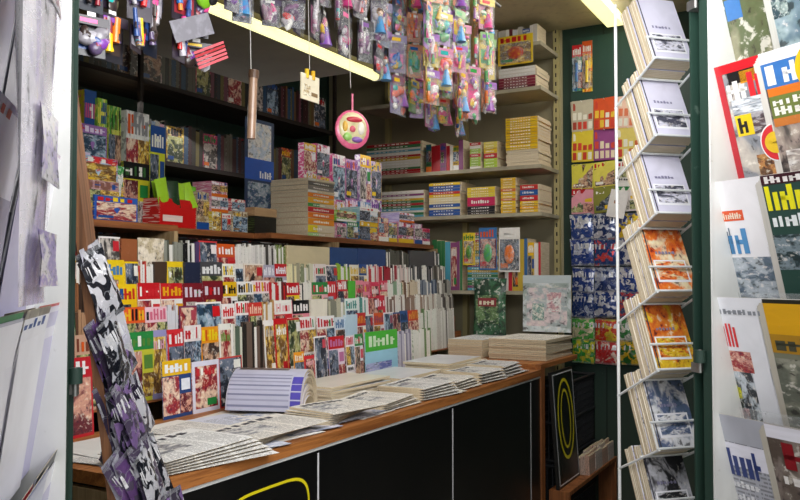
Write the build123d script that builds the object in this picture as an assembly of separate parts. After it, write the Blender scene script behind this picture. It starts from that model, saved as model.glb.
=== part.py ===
from build123d import *
import math
import os

# Newspaper kiosk with a canted corner entrance, built in millimetres.
# X runs along the counter, Y runs from the street front to the back wall, Z is up.
# The origin is on the ground, at the middle of the building's rectangle.

# Body
body_length = 3530
body_depth = 2800
entrance_leg = 936
deck_height = 100
wall_top = 2980
wall_thickness = 40
post_size = 48
post_sheet = 5
wall_gap = 0.3

# Roof and ceiling
eaves_overhang = 350
roof_thickness = 60
fascia_height = 240
fascia_thickness = 30
cap_rise = 130
cap_inset = 450
cap_step = 20
ceiling_thickness = 18
ceiling_inset = 9
ceiling_drop = 160
lintel_height = 760

# Entrance leaves
leaf_depth = 110
leaf_axis_gap = 9
leaf_axis_out = 25
leaf_floor_gap = 20
leaf_top = 2150
leaf_stile = 22
leaf_back = 3
lining_thickness = 4
meeting_gap = 8
left_open_angle = 90
right_open_angle = 100
pin_radius = 4
pin_clearance = 0.3
eye_radius = 12
eye_height = 26
hinge_heights = (380, 1240, 2010)

# Magazine tiers in the leaves
tier_pitch = 240
tier_count = 8
tier_first = 35
magazine_height = 246
magazine_thickness = 9
magazine_columns = 3
magazine_gap = 8
tier_setback = 14
tier_drop = 72
holder_thickness = 2
holder_lip = 34

# Counter
counter_height = 1000
counter_setback = 972
counter_depth = 560
counter_left_gap = 261
counter_thickness = 28
edge_thickness = 16
channel_height = 9
flap_space = 563
counter_post = 48
sign_parts = (560, 820, 790, 126)
sign_thickness = 10
sign_gap = 4
board_thickness = 18
flap_rise = 22
sign_bottom = 140

# Tiered rack behind the counter
rack_gap = 58
rack_rows = 5
rack_pitch = 78
rack_step = 34
rack_below_shelf = 432
rack_left_gap = 85
rack_right_gap = 25
rack_sheet = 5
rack_groups = 7
row_magazine = 200
row_heights = ((242, 212), (221, 210), (198, 207), (176, 205), (164, 202))
row_thickness = 18

# Toy shelf
shelf_setback = 32
shelf_height = 1600
shelf_depth = 260
shelf_thickness = 22
left_bay = 1040
middle_bay = 520

# Overhead locker and lamps
locker_overhang = 366
locker_depth = 622
locker_bottom = 2240
locker_length = 1755
locker_sheet = 15
lamp_radius = 19
lamp_length = 1260
holder_width = 20

# Shelves on the right end wall
end_depth = 330
end_gap = 192
end_length = 1136
end_levels = (1345, 1765, 2020, 2440, 2680)
end_sheet = 20

# Back wall shelves
back_depth = 300
back_levels = (900, 1250, 1600, 1950, 2300)

# Wire print rack
wire_radius = 3
print_pitch = 185
print_lowest = 461
print_count = 9
print_width = 115
print_height = 205
print_thick = 75
print_lean = 25
print_lip = 60
print_u = 650
print_v = 192

# Side panel, low shelf and crates
peg_gap = 64
peg_width = 390
peg_bottom = 930
peg_top = 2760
low_shelf_height = 450

# Leaning board of sachets
lean_foot = -424
lean_top = -648
lean_front = 8
lean_width = 187
lean_length = 1790
lean_board = 16
sachet_pitch = 118
sachet_lowest = 60
sachet_rows = 11
sachet_deepest = 96

# Hanging rails
rail_radius = 8
rail_drop = 200
rail_thread = 2

x_left = -body_length / 2
x_right = body_length / 2
y_front = -body_depth / 2
y_back = body_depth / 2
inner_left = x_left + wall_thickness
inner_right = x_right - wall_thickness
inner_back = y_back - wall_thickness
inner_front = y_front + wall_thickness
corner_y = y_front + entrance_leg
corner_x = x_left + entrance_leg
entrance_width = entrance_leg * math.sqrt(2)
ceiling_bottom = wall_top - ceiling_drop
counter_front = y_front + counter_setback
counter_back = counter_front + counter_depth
end_front = inner_right - end_depth
end_front_y = counter_front + end_gap
end_back_y = end_front_y + end_length
counter_left = inner_left + counter_left_gap
counter_right = end_front - flap_space
rack_left = inner_left + rack_left_gap
rack_right = end_front - rack_right_gap
rack_front = counter_back + rack_gap
rack_first = shelf_height - rack_below_shelf
shelf_front = rack_front + rack_rows * rack_step + shelf_setback
shelf_split_left = rack_left + left_bay
shelf_split_right = shelf_split_left + middle_bay
locker_front = counter_front + locker_overhang
locker_back = locker_front + locker_depth
locker_right = inner_left + locker_length
peg_right = end_front_y - peg_gap
peg_left = peg_right - peg_width
rail_height = ceiling_bottom - rail_drop
hinge_u = entrance_width / 2 - post_size - 5
leaf_width = hinge_u - meeting_gap / 2
entrance = Location((x_left + entrance_leg / 2, y_front + entrance_leg / 2, 0), (0, 0, -45))

os.makedirs("parts", exist_ok=True)


def save(name, solids):
    """Write one sub-part, made of one or more solids that don't touch."""
    pieces = []
    for item in solids:
        pieces.extend(item.solids())
    shape = pieces[0] if len(pieces) == 1 else Compound(children=pieces)
    shape.label = name
    export_step(shape, f"parts/{name}.step")


def block(x, y, z):
    """A box given by its lowest and highest X, Y and Z."""
    size = (x[1] - x[0], y[1] - y[0], z[1] - z[0])
    middle = ((x[0] + x[1]) / 2, (y[0] + y[1]) / 2, (z[0] + z[1]) / 2)
    return Pos(*middle) * Box(*size)


def prism(points, z):
    """An upright prism on a plan outline."""
    face = make_face(Polyline(*points, close=True))
    return Pos(0, 0, z[0]) * extrude(face, amount=z[1] - z[0])


def shared(low, high, parts):
    """Split a range into parts in the given proportions; a negative part is a gap."""
    scale = (high - low) / sum(abs(part) for part in parts)
    ranges = []
    position = low
    for part in parts:
        if part > 0:
            ranges.append((position, position + part * scale))
        position += abs(part) * scale
    return ranges


def rod(start, end, radius):
    """A round bar between two points."""
    start_point = Vector(*start)
    direction = Vector(*end) - start_point
    plane = Plane(origin=start_point, z_dir=direction)
    return extrude(plane * Circle(radius), amount=direction.length)


def outline(grow):
    """The building's plan outline, moved outward by the given distance."""
    cut = grow * (math.sqrt(2) - 1)
    return [
        (corner_x - cut, y_front - grow),
        (x_right + grow, y_front - grow),
        (x_right + grow, y_back + grow),
        (x_left - grow, y_back + grow),
        (x_left - grow, corner_y - cut),
    ]


# Floor deck
save("floor_deck", [prism(outline(0), (0, deck_height))])


# Corner posts and entrance posts
def corner_posts():
    """Three square posts at the square corners, two posts of folded sheet beside the entrance."""
    z = (deck_height, wall_top)
    right = (x_right - post_size, x_right)
    left = (x_left, x_left + post_size)
    back = (y_back - post_size, y_back)
    front = (y_front, y_front + post_size)
    fold = post_size / math.sqrt(2)
    thick = post_sheet / math.sqrt(2)
    bend = post_sheet * math.tan(math.radians(22.5))
    left_post = [
        (x_left, corner_y),
        (x_left + fold, corner_y - fold),
        (x_left + fold + thick, corner_y - fold + thick),
        (x_left + post_sheet, corner_y + bend),
        (x_left + post_sheet, corner_y + post_size),
        (x_left, corner_y + post_size),
    ]
    right_post = [
        (corner_x, y_front),
        (corner_x - fold, y_front + fold),
        (corner_x - fold + thick, y_front + fold + thick),
        (corner_x + bend, y_front + post_sheet),
        (corner_x + post_size, y_front + post_sheet),
        (corner_x + post_size, y_front),
    ]
    square = [block(right, front, z), block(right, back, z), block(left, back, z)]
    return square + [prism(left_post, z), prism(right_post, z)]


save("corner_posts", corner_posts())

# Walls between the posts
wall_z = (deck_height, wall_top)
left_span = (corner_y + post_size + wall_gap, y_back - post_size - wall_gap)
front_span = (corner_x + post_size + wall_gap, x_right - post_size - wall_gap)
side_span = (y_front + post_size + wall_gap, y_back - post_size - wall_gap)
back_span = (x_left + post_size + wall_gap, x_right - post_size - wall_gap)
save("left_wall", [block((x_left, inner_left), left_span, wall_z)])
save("right_wall", [block((inner_right, x_right), side_span, wall_z)])
save("back_wall", [block(back_span, (inner_back, y_back), wall_z)])
save("front_wall", [block(front_span, (y_front, inner_front), wall_z)])

# Lintel over the entrance
lintel_half = entrance_width / 2 - post_size - wall_gap
lintel_z = (wall_top - lintel_height, wall_top)
lintel = entrance * block((-lintel_half, lintel_half), (0, wall_thickness), lintel_z)
save("entrance_lintel", [lintel])

# Ceiling and roof
ceiling_plan = outline(-wall_thickness - wall_gap - ceiling_inset)
save("ceiling", [prism(ceiling_plan, (ceiling_bottom, ceiling_bottom + ceiling_thickness))])


def fascia_boards():
    """One board along each side of the roof, mitred at the corners."""
    outer = outline(eaves_overhang + fascia_thickness)
    inner = outline(eaves_overhang + wall_gap)
    bottom = wall_top - fascia_height / 3
    boards = []
    for index in range(len(outer)):
        following = (index + 1) % len(outer)
        start = Vector(*outer[index])
        end = Vector(*outer[following])
        along = (end - start).normalized() * 1.5
        points = [
            start + along,
            end - along,
            Vector(*inner[following]) - along,
            Vector(*inner[index]) + along,
        ]
        boards.append(prism([(p.X, p.Y) for p in points], (bottom, bottom + fascia_height)))
    return boards


save("fascia", fascia_boards())


def roof_cap():
    """A low hipped cover on the roof slab."""
    low = make_face(Polyline(*outline(eaves_overhang - cap_step), close=True))
    high = make_face(Polyline(*outline(eaves_overhang - cap_step - cap_inset), close=True))
    base = wall_top + roof_thickness
    return loft([Pos(0, 0, base) * low, Pos(0, 0, base + cap_rise) * high])


roof_slab = prism(outline(eaves_overhang), (wall_top, wall_top + roof_thickness))
save("roof", [roof_slab + roof_cap()])


# Entrance leaves, each in its own frame: the hinge axis is at the origin,
# the leaf runs along side * X and its open tray faces +Y
leaf_bottom = deck_height + leaf_floor_gap
tray_front = -leaf_axis_gap
tray_back = -leaf_axis_gap - leaf_depth


def span(side, near, far):
    """A range of X at the given distances from the hinge."""
    return tuple(sorted((side * near, side * far)))


def hinge_eye(height):
    """A ring on the leaf that turns on one pin."""
    ring = Cylinder(eye_radius, eye_height) - Cylinder(pin_radius + pin_clearance, eye_height)
    trimmed = ring - block((-50, 50), (-50, -leaf_axis_gap), (-50, 50))
    return Pos(0, 0, height + eye_height / 2 + 1) * trimmed


def leaf_tray(side):
    """Two stiles, two rails and the outer sheet of the tray, with the hinge eyes, in one piece."""
    z = (leaf_bottom, leaf_top)
    y = (tray_back, tray_front)
    near = block(span(side, 0, leaf_stile), y, z)
    far = block(span(side, leaf_width - leaf_stile, leaf_width), y, z)
    between = span(side, leaf_stile, leaf_width - leaf_stile)
    low = block(between, y, (leaf_bottom, leaf_bottom + leaf_stile))
    high = block(between, y, (leaf_top - leaf_stile, leaf_top))
    outer_sheet = block(between, (tray_back, tray_back + leaf_back), z)
    tray = near + far + low + high + outer_sheet
    for height in hinge_heights:
        tray += hinge_eye(height)
    return tray


def leaf_lining(side):
    """White sheets on the inner sides of both stiles."""
    z = (leaf_bottom + leaf_stile + 1, leaf_top - leaf_stile - 1)
    y = (tray_back + leaf_back + wall_gap, tray_front - 1)
    near = leaf_stile + wall_gap
    far = leaf_width - leaf_stile - wall_gap
    near_sheet = block(span(side, near, near + lining_thickness), y, z)
    far_sheet = block(span(side, far - lining_thickness, far), y, z)
    return [near_sheet, far_sheet]


tier_angle = math.degrees(math.atan2(tier_drop, magazine_height))
tray_inner = leaf_stile + lining_thickness + 2
magazine_width = (leaf_width - 2 * tray_inner - (magazine_columns - 1) * magazine_gap) / magazine_columns


def tier_frame(level):
    """Place of one tier: its origin is where the magazines' front lower edge stands."""
    z = leaf_bottom + tier_first + level * tier_pitch
    y = tray_front - tier_setback - tier_drop
    return Pos(0, y, z) * Rot(-tier_angle, 0, 0)


def leaf_holders(side):
    """Bent sheets that carry each tier of magazines, from lining to lining."""
    x = span(side, tray_inner - 1.5, leaf_width - tray_inner + 1.5)
    holders = []
    for level in range(tier_count):
        back = -magazine_thickness - 1 - holder_thickness
        rear = block(x, (back, back + holder_thickness), (0, 90))
        base = block(x, (back, 1 + holder_thickness), (-holder_thickness, 0))
        lip = block(x, (1, 1 + holder_thickness), (-holder_thickness, holder_lip))
        holders.append(tier_frame(level) * (rear + base + lip))
    return holders


def leaf_magazines(side):
    """Three magazines side by side on each tier."""
    magazines = []
    for level in range(tier_count):
        for column in range(magazine_columns):
            near = tray_inner + column * (magazine_width + magazine_gap)
            x = span(side, near, near + magazine_width)
            shape = block(x, (-magazine_thickness, 0), (wall_gap, magazine_height))
            magazines.append(tier_frame(level) * shape)
    return magazines


def hinge_pins(side):
    """Pintle arms on the post, each with an upright pin."""
    pins = []
    for height in hinge_heights:
        arm = block((-pin_radius, pin_radius), (0, leaf_axis_out), (height - 20, height))
        foot = block(span(side, -24, pin_radius), (leaf_axis_out - 6, leaf_axis_out), (height - 20, height))
        nose = Pos(0, 0, height - 10) * Cylinder(pin_radius, 20)
        pin = Pos(0, 0, height + eye_height / 2 + 1) * Cylinder(pin_radius, eye_height + 2)
        pins.append(arm + foot + nose + pin)
    return pins


def hanging_pack(side):
    """A tall wrapped pack that hangs on the tray near the free edge."""
    x = span(side, leaf_width - 190, leaf_width - 15)
    return [block(x, (tray_front + wall_gap, tray_front + 41), (leaf_top - 765, leaf_top - 90))]


leaves = {
    "left": (1, entrance * Pos(-hinge_u, -leaf_axis_out, 0), -left_open_angle),
    "right": (-1, entrance * Pos(hinge_u, -leaf_axis_out, 0), right_open_angle),
}
pins = []
for name, (side, hinge, angle) in leaves.items():
    leaf = hinge * Rot(0, 0, angle)
    save(f"{name}_leaf_tray", [leaf * leaf_tray(side)])
    save(f"{name}_leaf_lining", [leaf * item for item in leaf_lining(side)])
    save(f"{name}_leaf_holders", [leaf * item for item in leaf_holders(side)])
    save(f"{name}_leaf_magazines", [leaf * item for item in leaf_magazines(side)])
    pins += [hinge * item for item in hinge_pins(side)]
    print(name, "hinge at", hinge.position)
    if name == "left":
        save("hanging_pack", [leaf * item for item in hanging_pack(side)])
save("hinge_pins", pins)

# Counter
counter_x = (counter_left, counter_right)
counter_top_z = (counter_height - counter_thickness, counter_height)
top_y = (counter_front + edge_thickness, counter_back)
save("counter_top", [block(counter_x, top_y, counter_top_z)])
edge_y = (counter_front, counter_front + edge_thickness - wall_gap)
save("counter_edge", [block(counter_x, edge_y, counter_top_z)])
channel_z = (counter_top_z[0] - wall_gap - channel_height, counter_top_z[0] - wall_gap)
channel_y = (counter_front + 4, counter_front + 4 + sign_thickness + 4)
save("counter_channel", [block(counter_x, channel_y, channel_z)])
sign_y = (counter_front + 6, counter_front + 6 + sign_thickness)
sign_z = (sign_bottom, channel_z[0] - wall_gap)
carcass_front = sign_y[1] + wall_gap


def counter_signs():
    """Sign panels side by side on the counter's front."""
    panels = []
    for left, right in shared(counter_left, counter_right, sign_parts):
        panels.append(block((left + sign_gap / 2, right - sign_gap / 2), sign_y, sign_z))
    return panels


save("counter_signs", counter_signs())


def counter_carcass():
    """Upright boards between the deck and the counter top."""
    boards = []
    count = 5
    step = (counter_right - counter_left - board_thickness) / (count - 1)
    for index in range(count):
        x = counter_left + index * step
        y = (carcass_front, counter_back - 20)
        boards.append(block((x, x + board_thickness), y, (deck_height, channel_z[0] - wall_gap)))
    return boards


save("counter_carcass", counter_carcass())
post_x = (counter_right + wall_gap, counter_right + wall_gap + counter_post)
post_y = (counter_front, counter_front + counter_post)
save("counter_post", [block(post_x, post_y, (deck_height, counter_height))])
flap_x = (post_x[0] + 1, end_front - 6)
flap_z = (counter_height + wall_gap, counter_height + flap_rise)
save("counter_flap", [block(flap_x, (counter_front + 2, counter_back), flap_z)])

# Tiered rack, rows of magazines and the toy shelf
row_hidden = row_magazine - rack_pitch


def rack_ledge(row):
    """Front and height of the ledge that one row stands on."""
    return rack_front + row * rack_step, rack_first - row_hidden + row * rack_pitch


def rack_steps():
    """One bent sheet that makes the ledges of all the rows."""
    points = []
    for row in range(rack_rows):
        y, z = rack_ledge(row)
        points.append((y, z))
        points.append((y + rack_step, z))
    last_y, last_z = rack_ledge(rack_rows - 1)
    points.append((last_y + rack_step, last_z + rack_pitch))
    under = [(y + rack_sheet, z - rack_sheet) for y, z in points]
    under[0] = (points[0][0], points[0][1] - rack_sheet)
    under[-1] = (points[-1][0] + rack_sheet, points[-1][1])
    face = make_face(Polyline(*(points + under[::-1]), close=True))
    upright = Plane(origin=(rack_left, 0, 0), x_dir=(0, 1, 0), z_dir=(1, 0, 0))
    return extrude(upright * face, amount=rack_right - rack_left)


save("rack_steps", [rack_steps()])
rack_back = rack_ledge(rack_rows - 1)[0] + rack_step + rack_sheet + 0.5
stand_top = shelf_height - shelf_thickness - wall_gap


def rack_stands():
    """Upright boards that carry the rack and the toy shelf."""
    stands = []
    count = 4
    pitch = (rack_right - rack_left - board_thickness) / (count - 1)
    for index in range(count):
        x = rack_left + index * pitch
        y = (rack_back, shelf_front + shelf_depth - 20)
        stands.append(block((x, x + board_thickness), y, (deck_height, stand_top)))
    return stands


save("rack_stands", rack_stands())


def magazine_row(row):
    """One row of standing magazines, in groups with small gaps."""
    y, z = rack_ledge(row)
    width = (rack_right - rack_left - 20) / rack_groups
    solids = []
    left_height, right_height = row_heights[row % len(row_heights)]
    for index in range(rack_groups):
        x = rack_left + 10 + index * width
        height = left_height + (right_height - left_height) * index / (rack_groups - 1)
        depth = (y + rack_step - row_thickness - wall_gap, y + rack_step - wall_gap)
        solids.append(block((x, x + width - 5), depth, (z + wall_gap, z + height)))
    return solids


rack_magazines = []
for row in range(rack_rows):
    rack_magazines += magazine_row(row)
save("rack_magazines", rack_magazines)

shelf_y = (shelf_front, shelf_front + shelf_depth)
shelf_z = (shelf_height - shelf_thickness, shelf_height)
left_board = block((rack_left, shelf_split_left), shelf_y, shelf_z)
right_board = block((shelf_split_right, rack_right), shelf_y, shelf_z)
middle_x = (shelf_split_left + wall_gap, shelf_split_right - wall_gap)
middle_board = block(middle_x, (shelf_front + 90, shelf_y[1]), shelf_z)
save("toy_shelf", [left_board, middle_board, right_board])


def goods_row(floor, reach, parts, front, back, heights):
    """Goods side by side on one level, from left to right."""
    solids = []
    for x, height in zip(shared(reach[0], reach[1], parts), heights):
        solids.append(block(x, (front, back), (floor + wall_gap, floor + height)))
    return solids


# Goods on the toy shelf: boxes, the red tray, book stacks and packs
left_reach = (rack_left + 10, shelf_split_left - 10)
middle_reach = (shelf_split_left + 10, shelf_split_right - 10)
right_reach = (shelf_split_right + 10, rack_right - 15)
shelf_rear = shelf_y[1] - 12
goods = goods_row(shelf_height, left_reach, (250, -10, 140, -10, 130, -10, 220, -20, 230),
                  shelf_front + 8, shelf_front + 170, (330, 250, 180, 130, 105))
goods += goods_row(shelf_height, left_reach, (-555, 225, -240), shelf_front + 185, shelf_rear, (360,))
goods += goods_row(shelf_height, middle_reach, (150, -10, 110, -10, 100, -10, 110),
                   shelf_front + 100, shelf_rear, (190, 150, 200, 140))
goods += goods_row(shelf_height, right_reach, (-480, 190, -10, 170, -10, 190, -10, 170, -10, 185),
                   shelf_front + 8, shelf_front + 170, (150, 190, 130, 170, 120))
goods += goods_row(shelf_height, right_reach, (-490, 220, -20, 240, -20, 230, -205),
                   shelf_front + 200, shelf_rear, (470, 450, 480))
goods += goods_row(shelf_height, right_reach, (-105, 200, -1120), shelf_front + 230, shelf_rear, (520,))
goods += goods_row(shelf_height, right_reach, (-5, 150, -1270), shelf_front + 100, shelf_front + 215, (112,))
save("shelf_goods", goods)
stacks = goods_row(shelf_height, right_reach, (-250, 220, -955), shelf_front + 5, shelf_front + 225, (258,))
save("book_stacks", stacks)

# Newspapers and magazines on the counter
paper_reach = (counter_left + 24, counter_right - 32)
pile_turn = 20
papers = goods_row(counter_height, paper_reach,
                   (310, -10, 320, -20, 260, -20, 230, -20, 240, -10, 220, -15, 220, -15, 220, -110),
                   counter_front + 23, counter_front + 210, (34, 26, 40, 30, 46, 40, 46, 52))
papers += goods_row(counter_height, paper_reach, (-960, 420, -20, 400, -20, 420), counter_front + 245,
                    counter_front + 490, (60, 40, 62))
papers += goods_row(counter_height, paper_reach,
                    (120, -10, 120, -250, 110, -10, 110, -10, 110, -290, 120, -10,
                     80, -10, 100, -20, 130, -20, 270, -10, 130, -10, 180, -10),
                    counter_back - 34, counter_back - 4,
                    (240, 225, 180, 170, 165, 150, 200, 195, 195, 190, 185, 180))
save("counter_papers", papers)


def bent_pile():
    """A thick pile of magazines bent over in an arch."""
    length = 240
    outer = [(0, 0), (200, 0), (200, 60), (150, 120), (90, 140), (40, 120), (0, 60)]
    face = make_face(Polyline(*outer, close=True))
    corner = (paper_reach[0] + 740, counter_front + 216, counter_height + wall_gap)
    turn = math.radians(pile_turn)
    across = (math.cos(turn), math.sin(turn), 0)
    ahead = (math.sin(turn), -math.cos(turn), 0)
    upright = Plane(origin=corner, x_dir=across, z_dir=ahead)
    return extrude(upright * face, amount=-length)


save("bent_pile", [bent_pile()])

# Overhead locker with the tube lamp under its front edge
locker_x = (inner_left + wall_gap, locker_right)
locker_front_z = (locker_bottom, ceiling_bottom - wall_gap)
behind_front = (locker_front + locker_sheet + wall_gap, locker_back)
above_base = (locker_bottom + locker_sheet + wall_gap, ceiling_bottom - wall_gap)
save("overhead_locker", [
    block(locker_x, behind_front, (locker_bottom, locker_bottom + locker_sheet)),
    block(locker_x, (locker_front, locker_front + locker_sheet), locker_front_z),
    block((locker_x[1] - locker_sheet, locker_x[1]), behind_front, above_base),
])
lamp_y = locker_front + lamp_radius + 4
lamp_z = locker_bottom - lamp_radius - 10
lamp_x = (locker_right - 10 - lamp_length, locker_right - 10)
holders = []
for x in (lamp_x[0] - holder_width - wall_gap, lamp_x[1] + wall_gap):
    holder_z = (lamp_z - 16, locker_bottom - wall_gap)
    holders.append(block((x, x + holder_width), (lamp_y - 16, lamp_y + 16), holder_z))
save("lamp_holders", holders)
tube = rod((lamp_x[0], lamp_y, lamp_z), (lamp_x[1], lamp_y, lamp_z), lamp_radius)
batten = block((inner_right - 680, inner_right - 80), (counter_front - 190, counter_front - 100),
               (ceiling_bottom - 46, ceiling_bottom - wall_gap))
save("lamps", [tube, batten])

# Rails under the ceiling and the packets that hang from them
rail_rows = (
    (inner_left + 125, inner_left + 560, counter_front + 138),
    (inner_left + 675, locker_right + 590, counter_front + 238),
    (locker_right + 30, locker_right + 590, counter_front + 358),
    (locker_right - 180, locker_right + 590, counter_front + 108),
)


def hanging_rails():
    """Round rails with two drop rods each."""
    rails = []
    for left, right, y in rail_rows:
        rail = rod((left, y, rail_height), (right, y, rail_height), rail_radius)
        for x in (left + 60, right - 60):
            rail += rod((x, y, rail_height), (x, y, ceiling_bottom - wall_gap), rail_radius - 3)
        rails.append(rail)
    return rails


save("hanging_rails", hanging_rails())


def packet_rows(rail, lengths, pitch, first=30):
    """Flat packets that hang side by side from one rail, the first at a distance from its left end."""
    left, right, y = rail
    packets = []
    count = int((right - left - first - 10) / pitch)
    for index in range(count):
        x = left + first + index * pitch
        top = rail_height - rail_radius - wall_gap
        z = (top - lengths[index % len(lengths)], top)
        packets.append(block((x, x + pitch - 16), (y - 12, y + 12), z))
    return packets


save("hanging_toys", packet_rows(rail_rows[0], (740, 700, 690, 640), 130))
packet_lengths = (480, 460, 450, 445, 455, 440, 470, 590, 570, 600, 560, 590)
packets = packet_rows(rail_rows[1], packet_lengths, 130, 20)
packets += packet_rows(rail_rows[2], (500, 440, 520), 130)
packets += packet_rows(rail_rows[3], (560, 500, 580), 140)
save("hanging_packets", packets)


def novelty(offset, half, low, high):
    """A thing on a thread before the second rail's packets; low and high are distances under the rail."""
    y = rail_rows[1][2] - 22
    x = rail_rows[1][0] + offset
    hook_end = rail_rows[1][2] - rail_radius - wall_gap
    body = block((x - half, x + half), (y - 20, y + 6), (rail_height - low, rail_height - high))
    thread = rod((x, y, rail_height - high - 1), (x, y, rail_height + 2), rail_thread)
    hook = rod((x, y - 2, rail_height), (x, hook_end, rail_height), rail_thread + 1)
    return body + thread + hook


save("hung_novelties", [novelty(117, 20, 820, 626), novelty(394, 49, 662, 560), novelty(626, 66, 777, 571)])

# Shelves on the right end wall
end_x = (end_front, inner_right - wall_gap)


def end_uprights():
    """Slotted uprights at both ends and the middle of the shelves."""
    posts = []
    for y in (end_front_y, (end_front_y + end_back_y) / 2, end_back_y - 30):
        posts.append(block((end_x[1] - 34, end_x[1]), (y, y + 30), (deck_height, ceiling_bottom - wall_gap)))
    return posts


end_shelf_x = (end_x[0], end_x[1] - 34 - wall_gap)
boards = end_uprights()
for level in end_levels:
    boards.append(block(end_shelf_x, (end_front_y, end_back_y), (level - end_sheet, level)))
save("end_shelves", boards)


def end_goods():
    """Books and boxes on the end shelves: near side, far side and height of each group."""
    groups = (
        ((10, 220, 330), (240, 440, 350), (460, 660, 310), (680, 1100, 190)),
        ((10, 240, 215), (256, 450, 195), (465, 680, 205), (700, 1100, 180)),
        ((10, 210, 330), (240, 420, 210), (450, 700, 180), (720, 1100, 210)),
        ((20, 250, 150), (290, 500, 190), (540, 900, 170)),
        ((20, 420, 110), (450, 900, 100)),
    )
    solids = []
    for level, items in zip(end_levels, groups):
        for near, far, height in items:
            x = (end_x[0] + 6, end_x[0] + 230)
            y = (end_front_y + near, end_front_y + far)
            solids.append(block(x, y, (level + wall_gap, level + height)))
    return solids


save("end_shelf_goods", end_goods())

# Dark shelves on the back wall
back_y = (inner_back - back_depth, inner_back - wall_gap)
back_x = (x_left + post_size + 1, end_x[0] - 40)
boards = []
for level in back_levels:
    boards.append(block(back_x, back_y, (level - end_sheet, level)))
upright_y = (back_y[0] - board_thickness - wall_gap, back_y[0] - wall_gap)
for x in (back_x[0], (back_x[0] + back_x[1]) / 2, back_x[1] - board_thickness):
    boards.append(block((x, x + board_thickness), upright_y, (deck_height, ceiling_bottom - wall_gap)))
save("back_shelves", boards)


def back_goods():
    """Rows of boxed films and books on the back shelves."""
    solids = []
    for level in back_levels:
        count = 4
        width = (back_x[1] - back_x[0] - 40) / count
        for index in range(count):
            x = back_x[0] + 20 + index * width
            height = (210, 190, 230)[index % 3]
            y = (back_y[0] + 30, back_y[0] + 200)
            solids.append(block((x, x + width - 14), y, (level + wall_gap, level + height)))
    return solids


save("back_shelf_goods", back_goods())

# White wire rack of prints in the right corner of the entrance
print_angle = Rot(-print_lean, 0, 0)


def print_place(level):
    """Place of one pocket: its origin is the front lower edge of the prints."""
    return entrance * Pos(print_u, print_v, print_lowest + level * print_pitch) * print_angle


def print_packs():
    """A thick pack of prints in each pocket."""
    packs = []
    for level in range(print_count):
        packs.append(print_place(level) * block((0, print_width), (0, print_thick), (wall_gap, print_height)))
    return packs


def wire_rack():
    """Wire pockets on two upright rods that stand on the deck."""
    left = -6
    right = print_width + 6
    front = -8
    rear = print_thick - 6
    arm_z = -2 * wire_radius
    lean = math.radians(print_lean)
    reach = print_height * math.sin(lean) + print_thick * math.cos(lean) + 8
    arm_end = reach / math.cos(lean) + 8
    wires = []
    for level in range(print_count):
        place = print_place(level)
        for x in (left, right):
            wires.append(place * rod((x, front - 4, arm_z), (x, arm_end, arm_z), wire_radius))
            wires.append(place * rod((x, front, arm_z - 1), (x, front, print_lip + 3), wire_radius - 0.5))
        for y, z in ((front - 2, -wire_radius), (rear, -wire_radius), (front - 2, print_lip)):
            wires.append(place * rod((left - 4, y, z), (right + 4, y, z), wire_radius))
    rack_top = print_place(print_count).position.Z
    for x in (left, right):
        foot = entrance * Pos(print_u + x, print_v + reach, 0)
        wires.append(foot * rod((0, 0, deck_height + wall_gap), (0, 0, rack_top), wire_radius + 1))
    rack = wires[0]
    for wire in wires[1:]:
        rack += wire
    return rack


save("wire_rack", [wire_rack()])
save("print_packs", print_packs())

# Side panel with sheets and sachets at the right end of the aisle
peg_x = (inner_right - 12 - wall_gap, inner_right - wall_gap)
save("peg_panel", [block(peg_x, (peg_left, peg_right), (peg_bottom, peg_top))])
hung = []
sheet_levels = (
    (1520, 1810, 30, 1),
    (1130, 1470, 26, 3),
    (840, 1110, 32, 3),
    (550, 820, 40, 3),
    (270, 530, 44, 3),
    (20, 250, 50, 3),
)
for low, high, depth, columns in sheet_levels:
    for column in range(columns):
        y = peg_right - 10 - column * 127
        z = (peg_bottom + low, peg_bottom + high)
        hung.append(block((peg_x[0] - depth, peg_x[0] - wall_gap), (y - 118, y), z))
save("side_sheets", hung)

# Piles of newspapers on the flap, with a square album and a green pack standing on them
flap_top = counter_height + flap_rise + wall_gap
pile_top = flap_top + 110
pile_x = (end_front - 430, end_front - 12)
album_x = (end_front - 26, end_front - 14)
green_x = (end_front - 120, end_front - 14)
green_y = (counter_front + 352, counter_back - 14)
save("flap_stock", [
    block(pile_x, (counter_front + 20, counter_front + 330), (flap_top, pile_top)),
    block(pile_x, (counter_front + 345, counter_back - 8), (flap_top, pile_top - 20)),
    block(album_x, (counter_front + 26, counter_front + 292), (pile_top + wall_gap, pile_top + 300)),
    block(green_x, green_y, (pile_top - 20 + wall_gap, pile_top + 290)),
])

# Low shelf at the counter's right end, with newspapers and dark crates
low_x = (post_x[1] + 8, inner_right - wall_gap)
low_y = (counter_front - 110, counter_front - 14)
low_board = block(low_x, low_y, (low_shelf_height - 18, low_shelf_height))
low_legs = [
    block((x, x + 18), low_y, (deck_height, low_shelf_height - 18 - wall_gap))
    for x in (low_x[0], low_x[1] - 18)
]
save("low_shelf", [low_board] + low_legs)
low_papers = goods_row(low_shelf_height, low_x, (-345, 245, -10, 226, -10),
                       low_y[0] + 2, low_y[1] - 2, (110, 90))
save("low_shelf_papers", low_papers)
crate_y = (counter_front - 4, end_front_y - 10)
save("crates", [
    block((post_x[1] + 190, inner_right - 20), crate_y, (deck_height + wall_gap, deck_height + 420)),
    block((post_x[1] + 220, inner_right - 30), crate_y, (deck_height + 420.5, deck_height + 800)),
])

# Framed board that stands on the low shelf and leans under the flap
sign_board = Pos(low_x[0] + 8, low_y[1] - 46, low_shelf_height + 1.2) * Rot(-4, 0, 0)
save("leaning_board", [sign_board * block((0, 320), (0, 14), (0, 530))])

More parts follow.
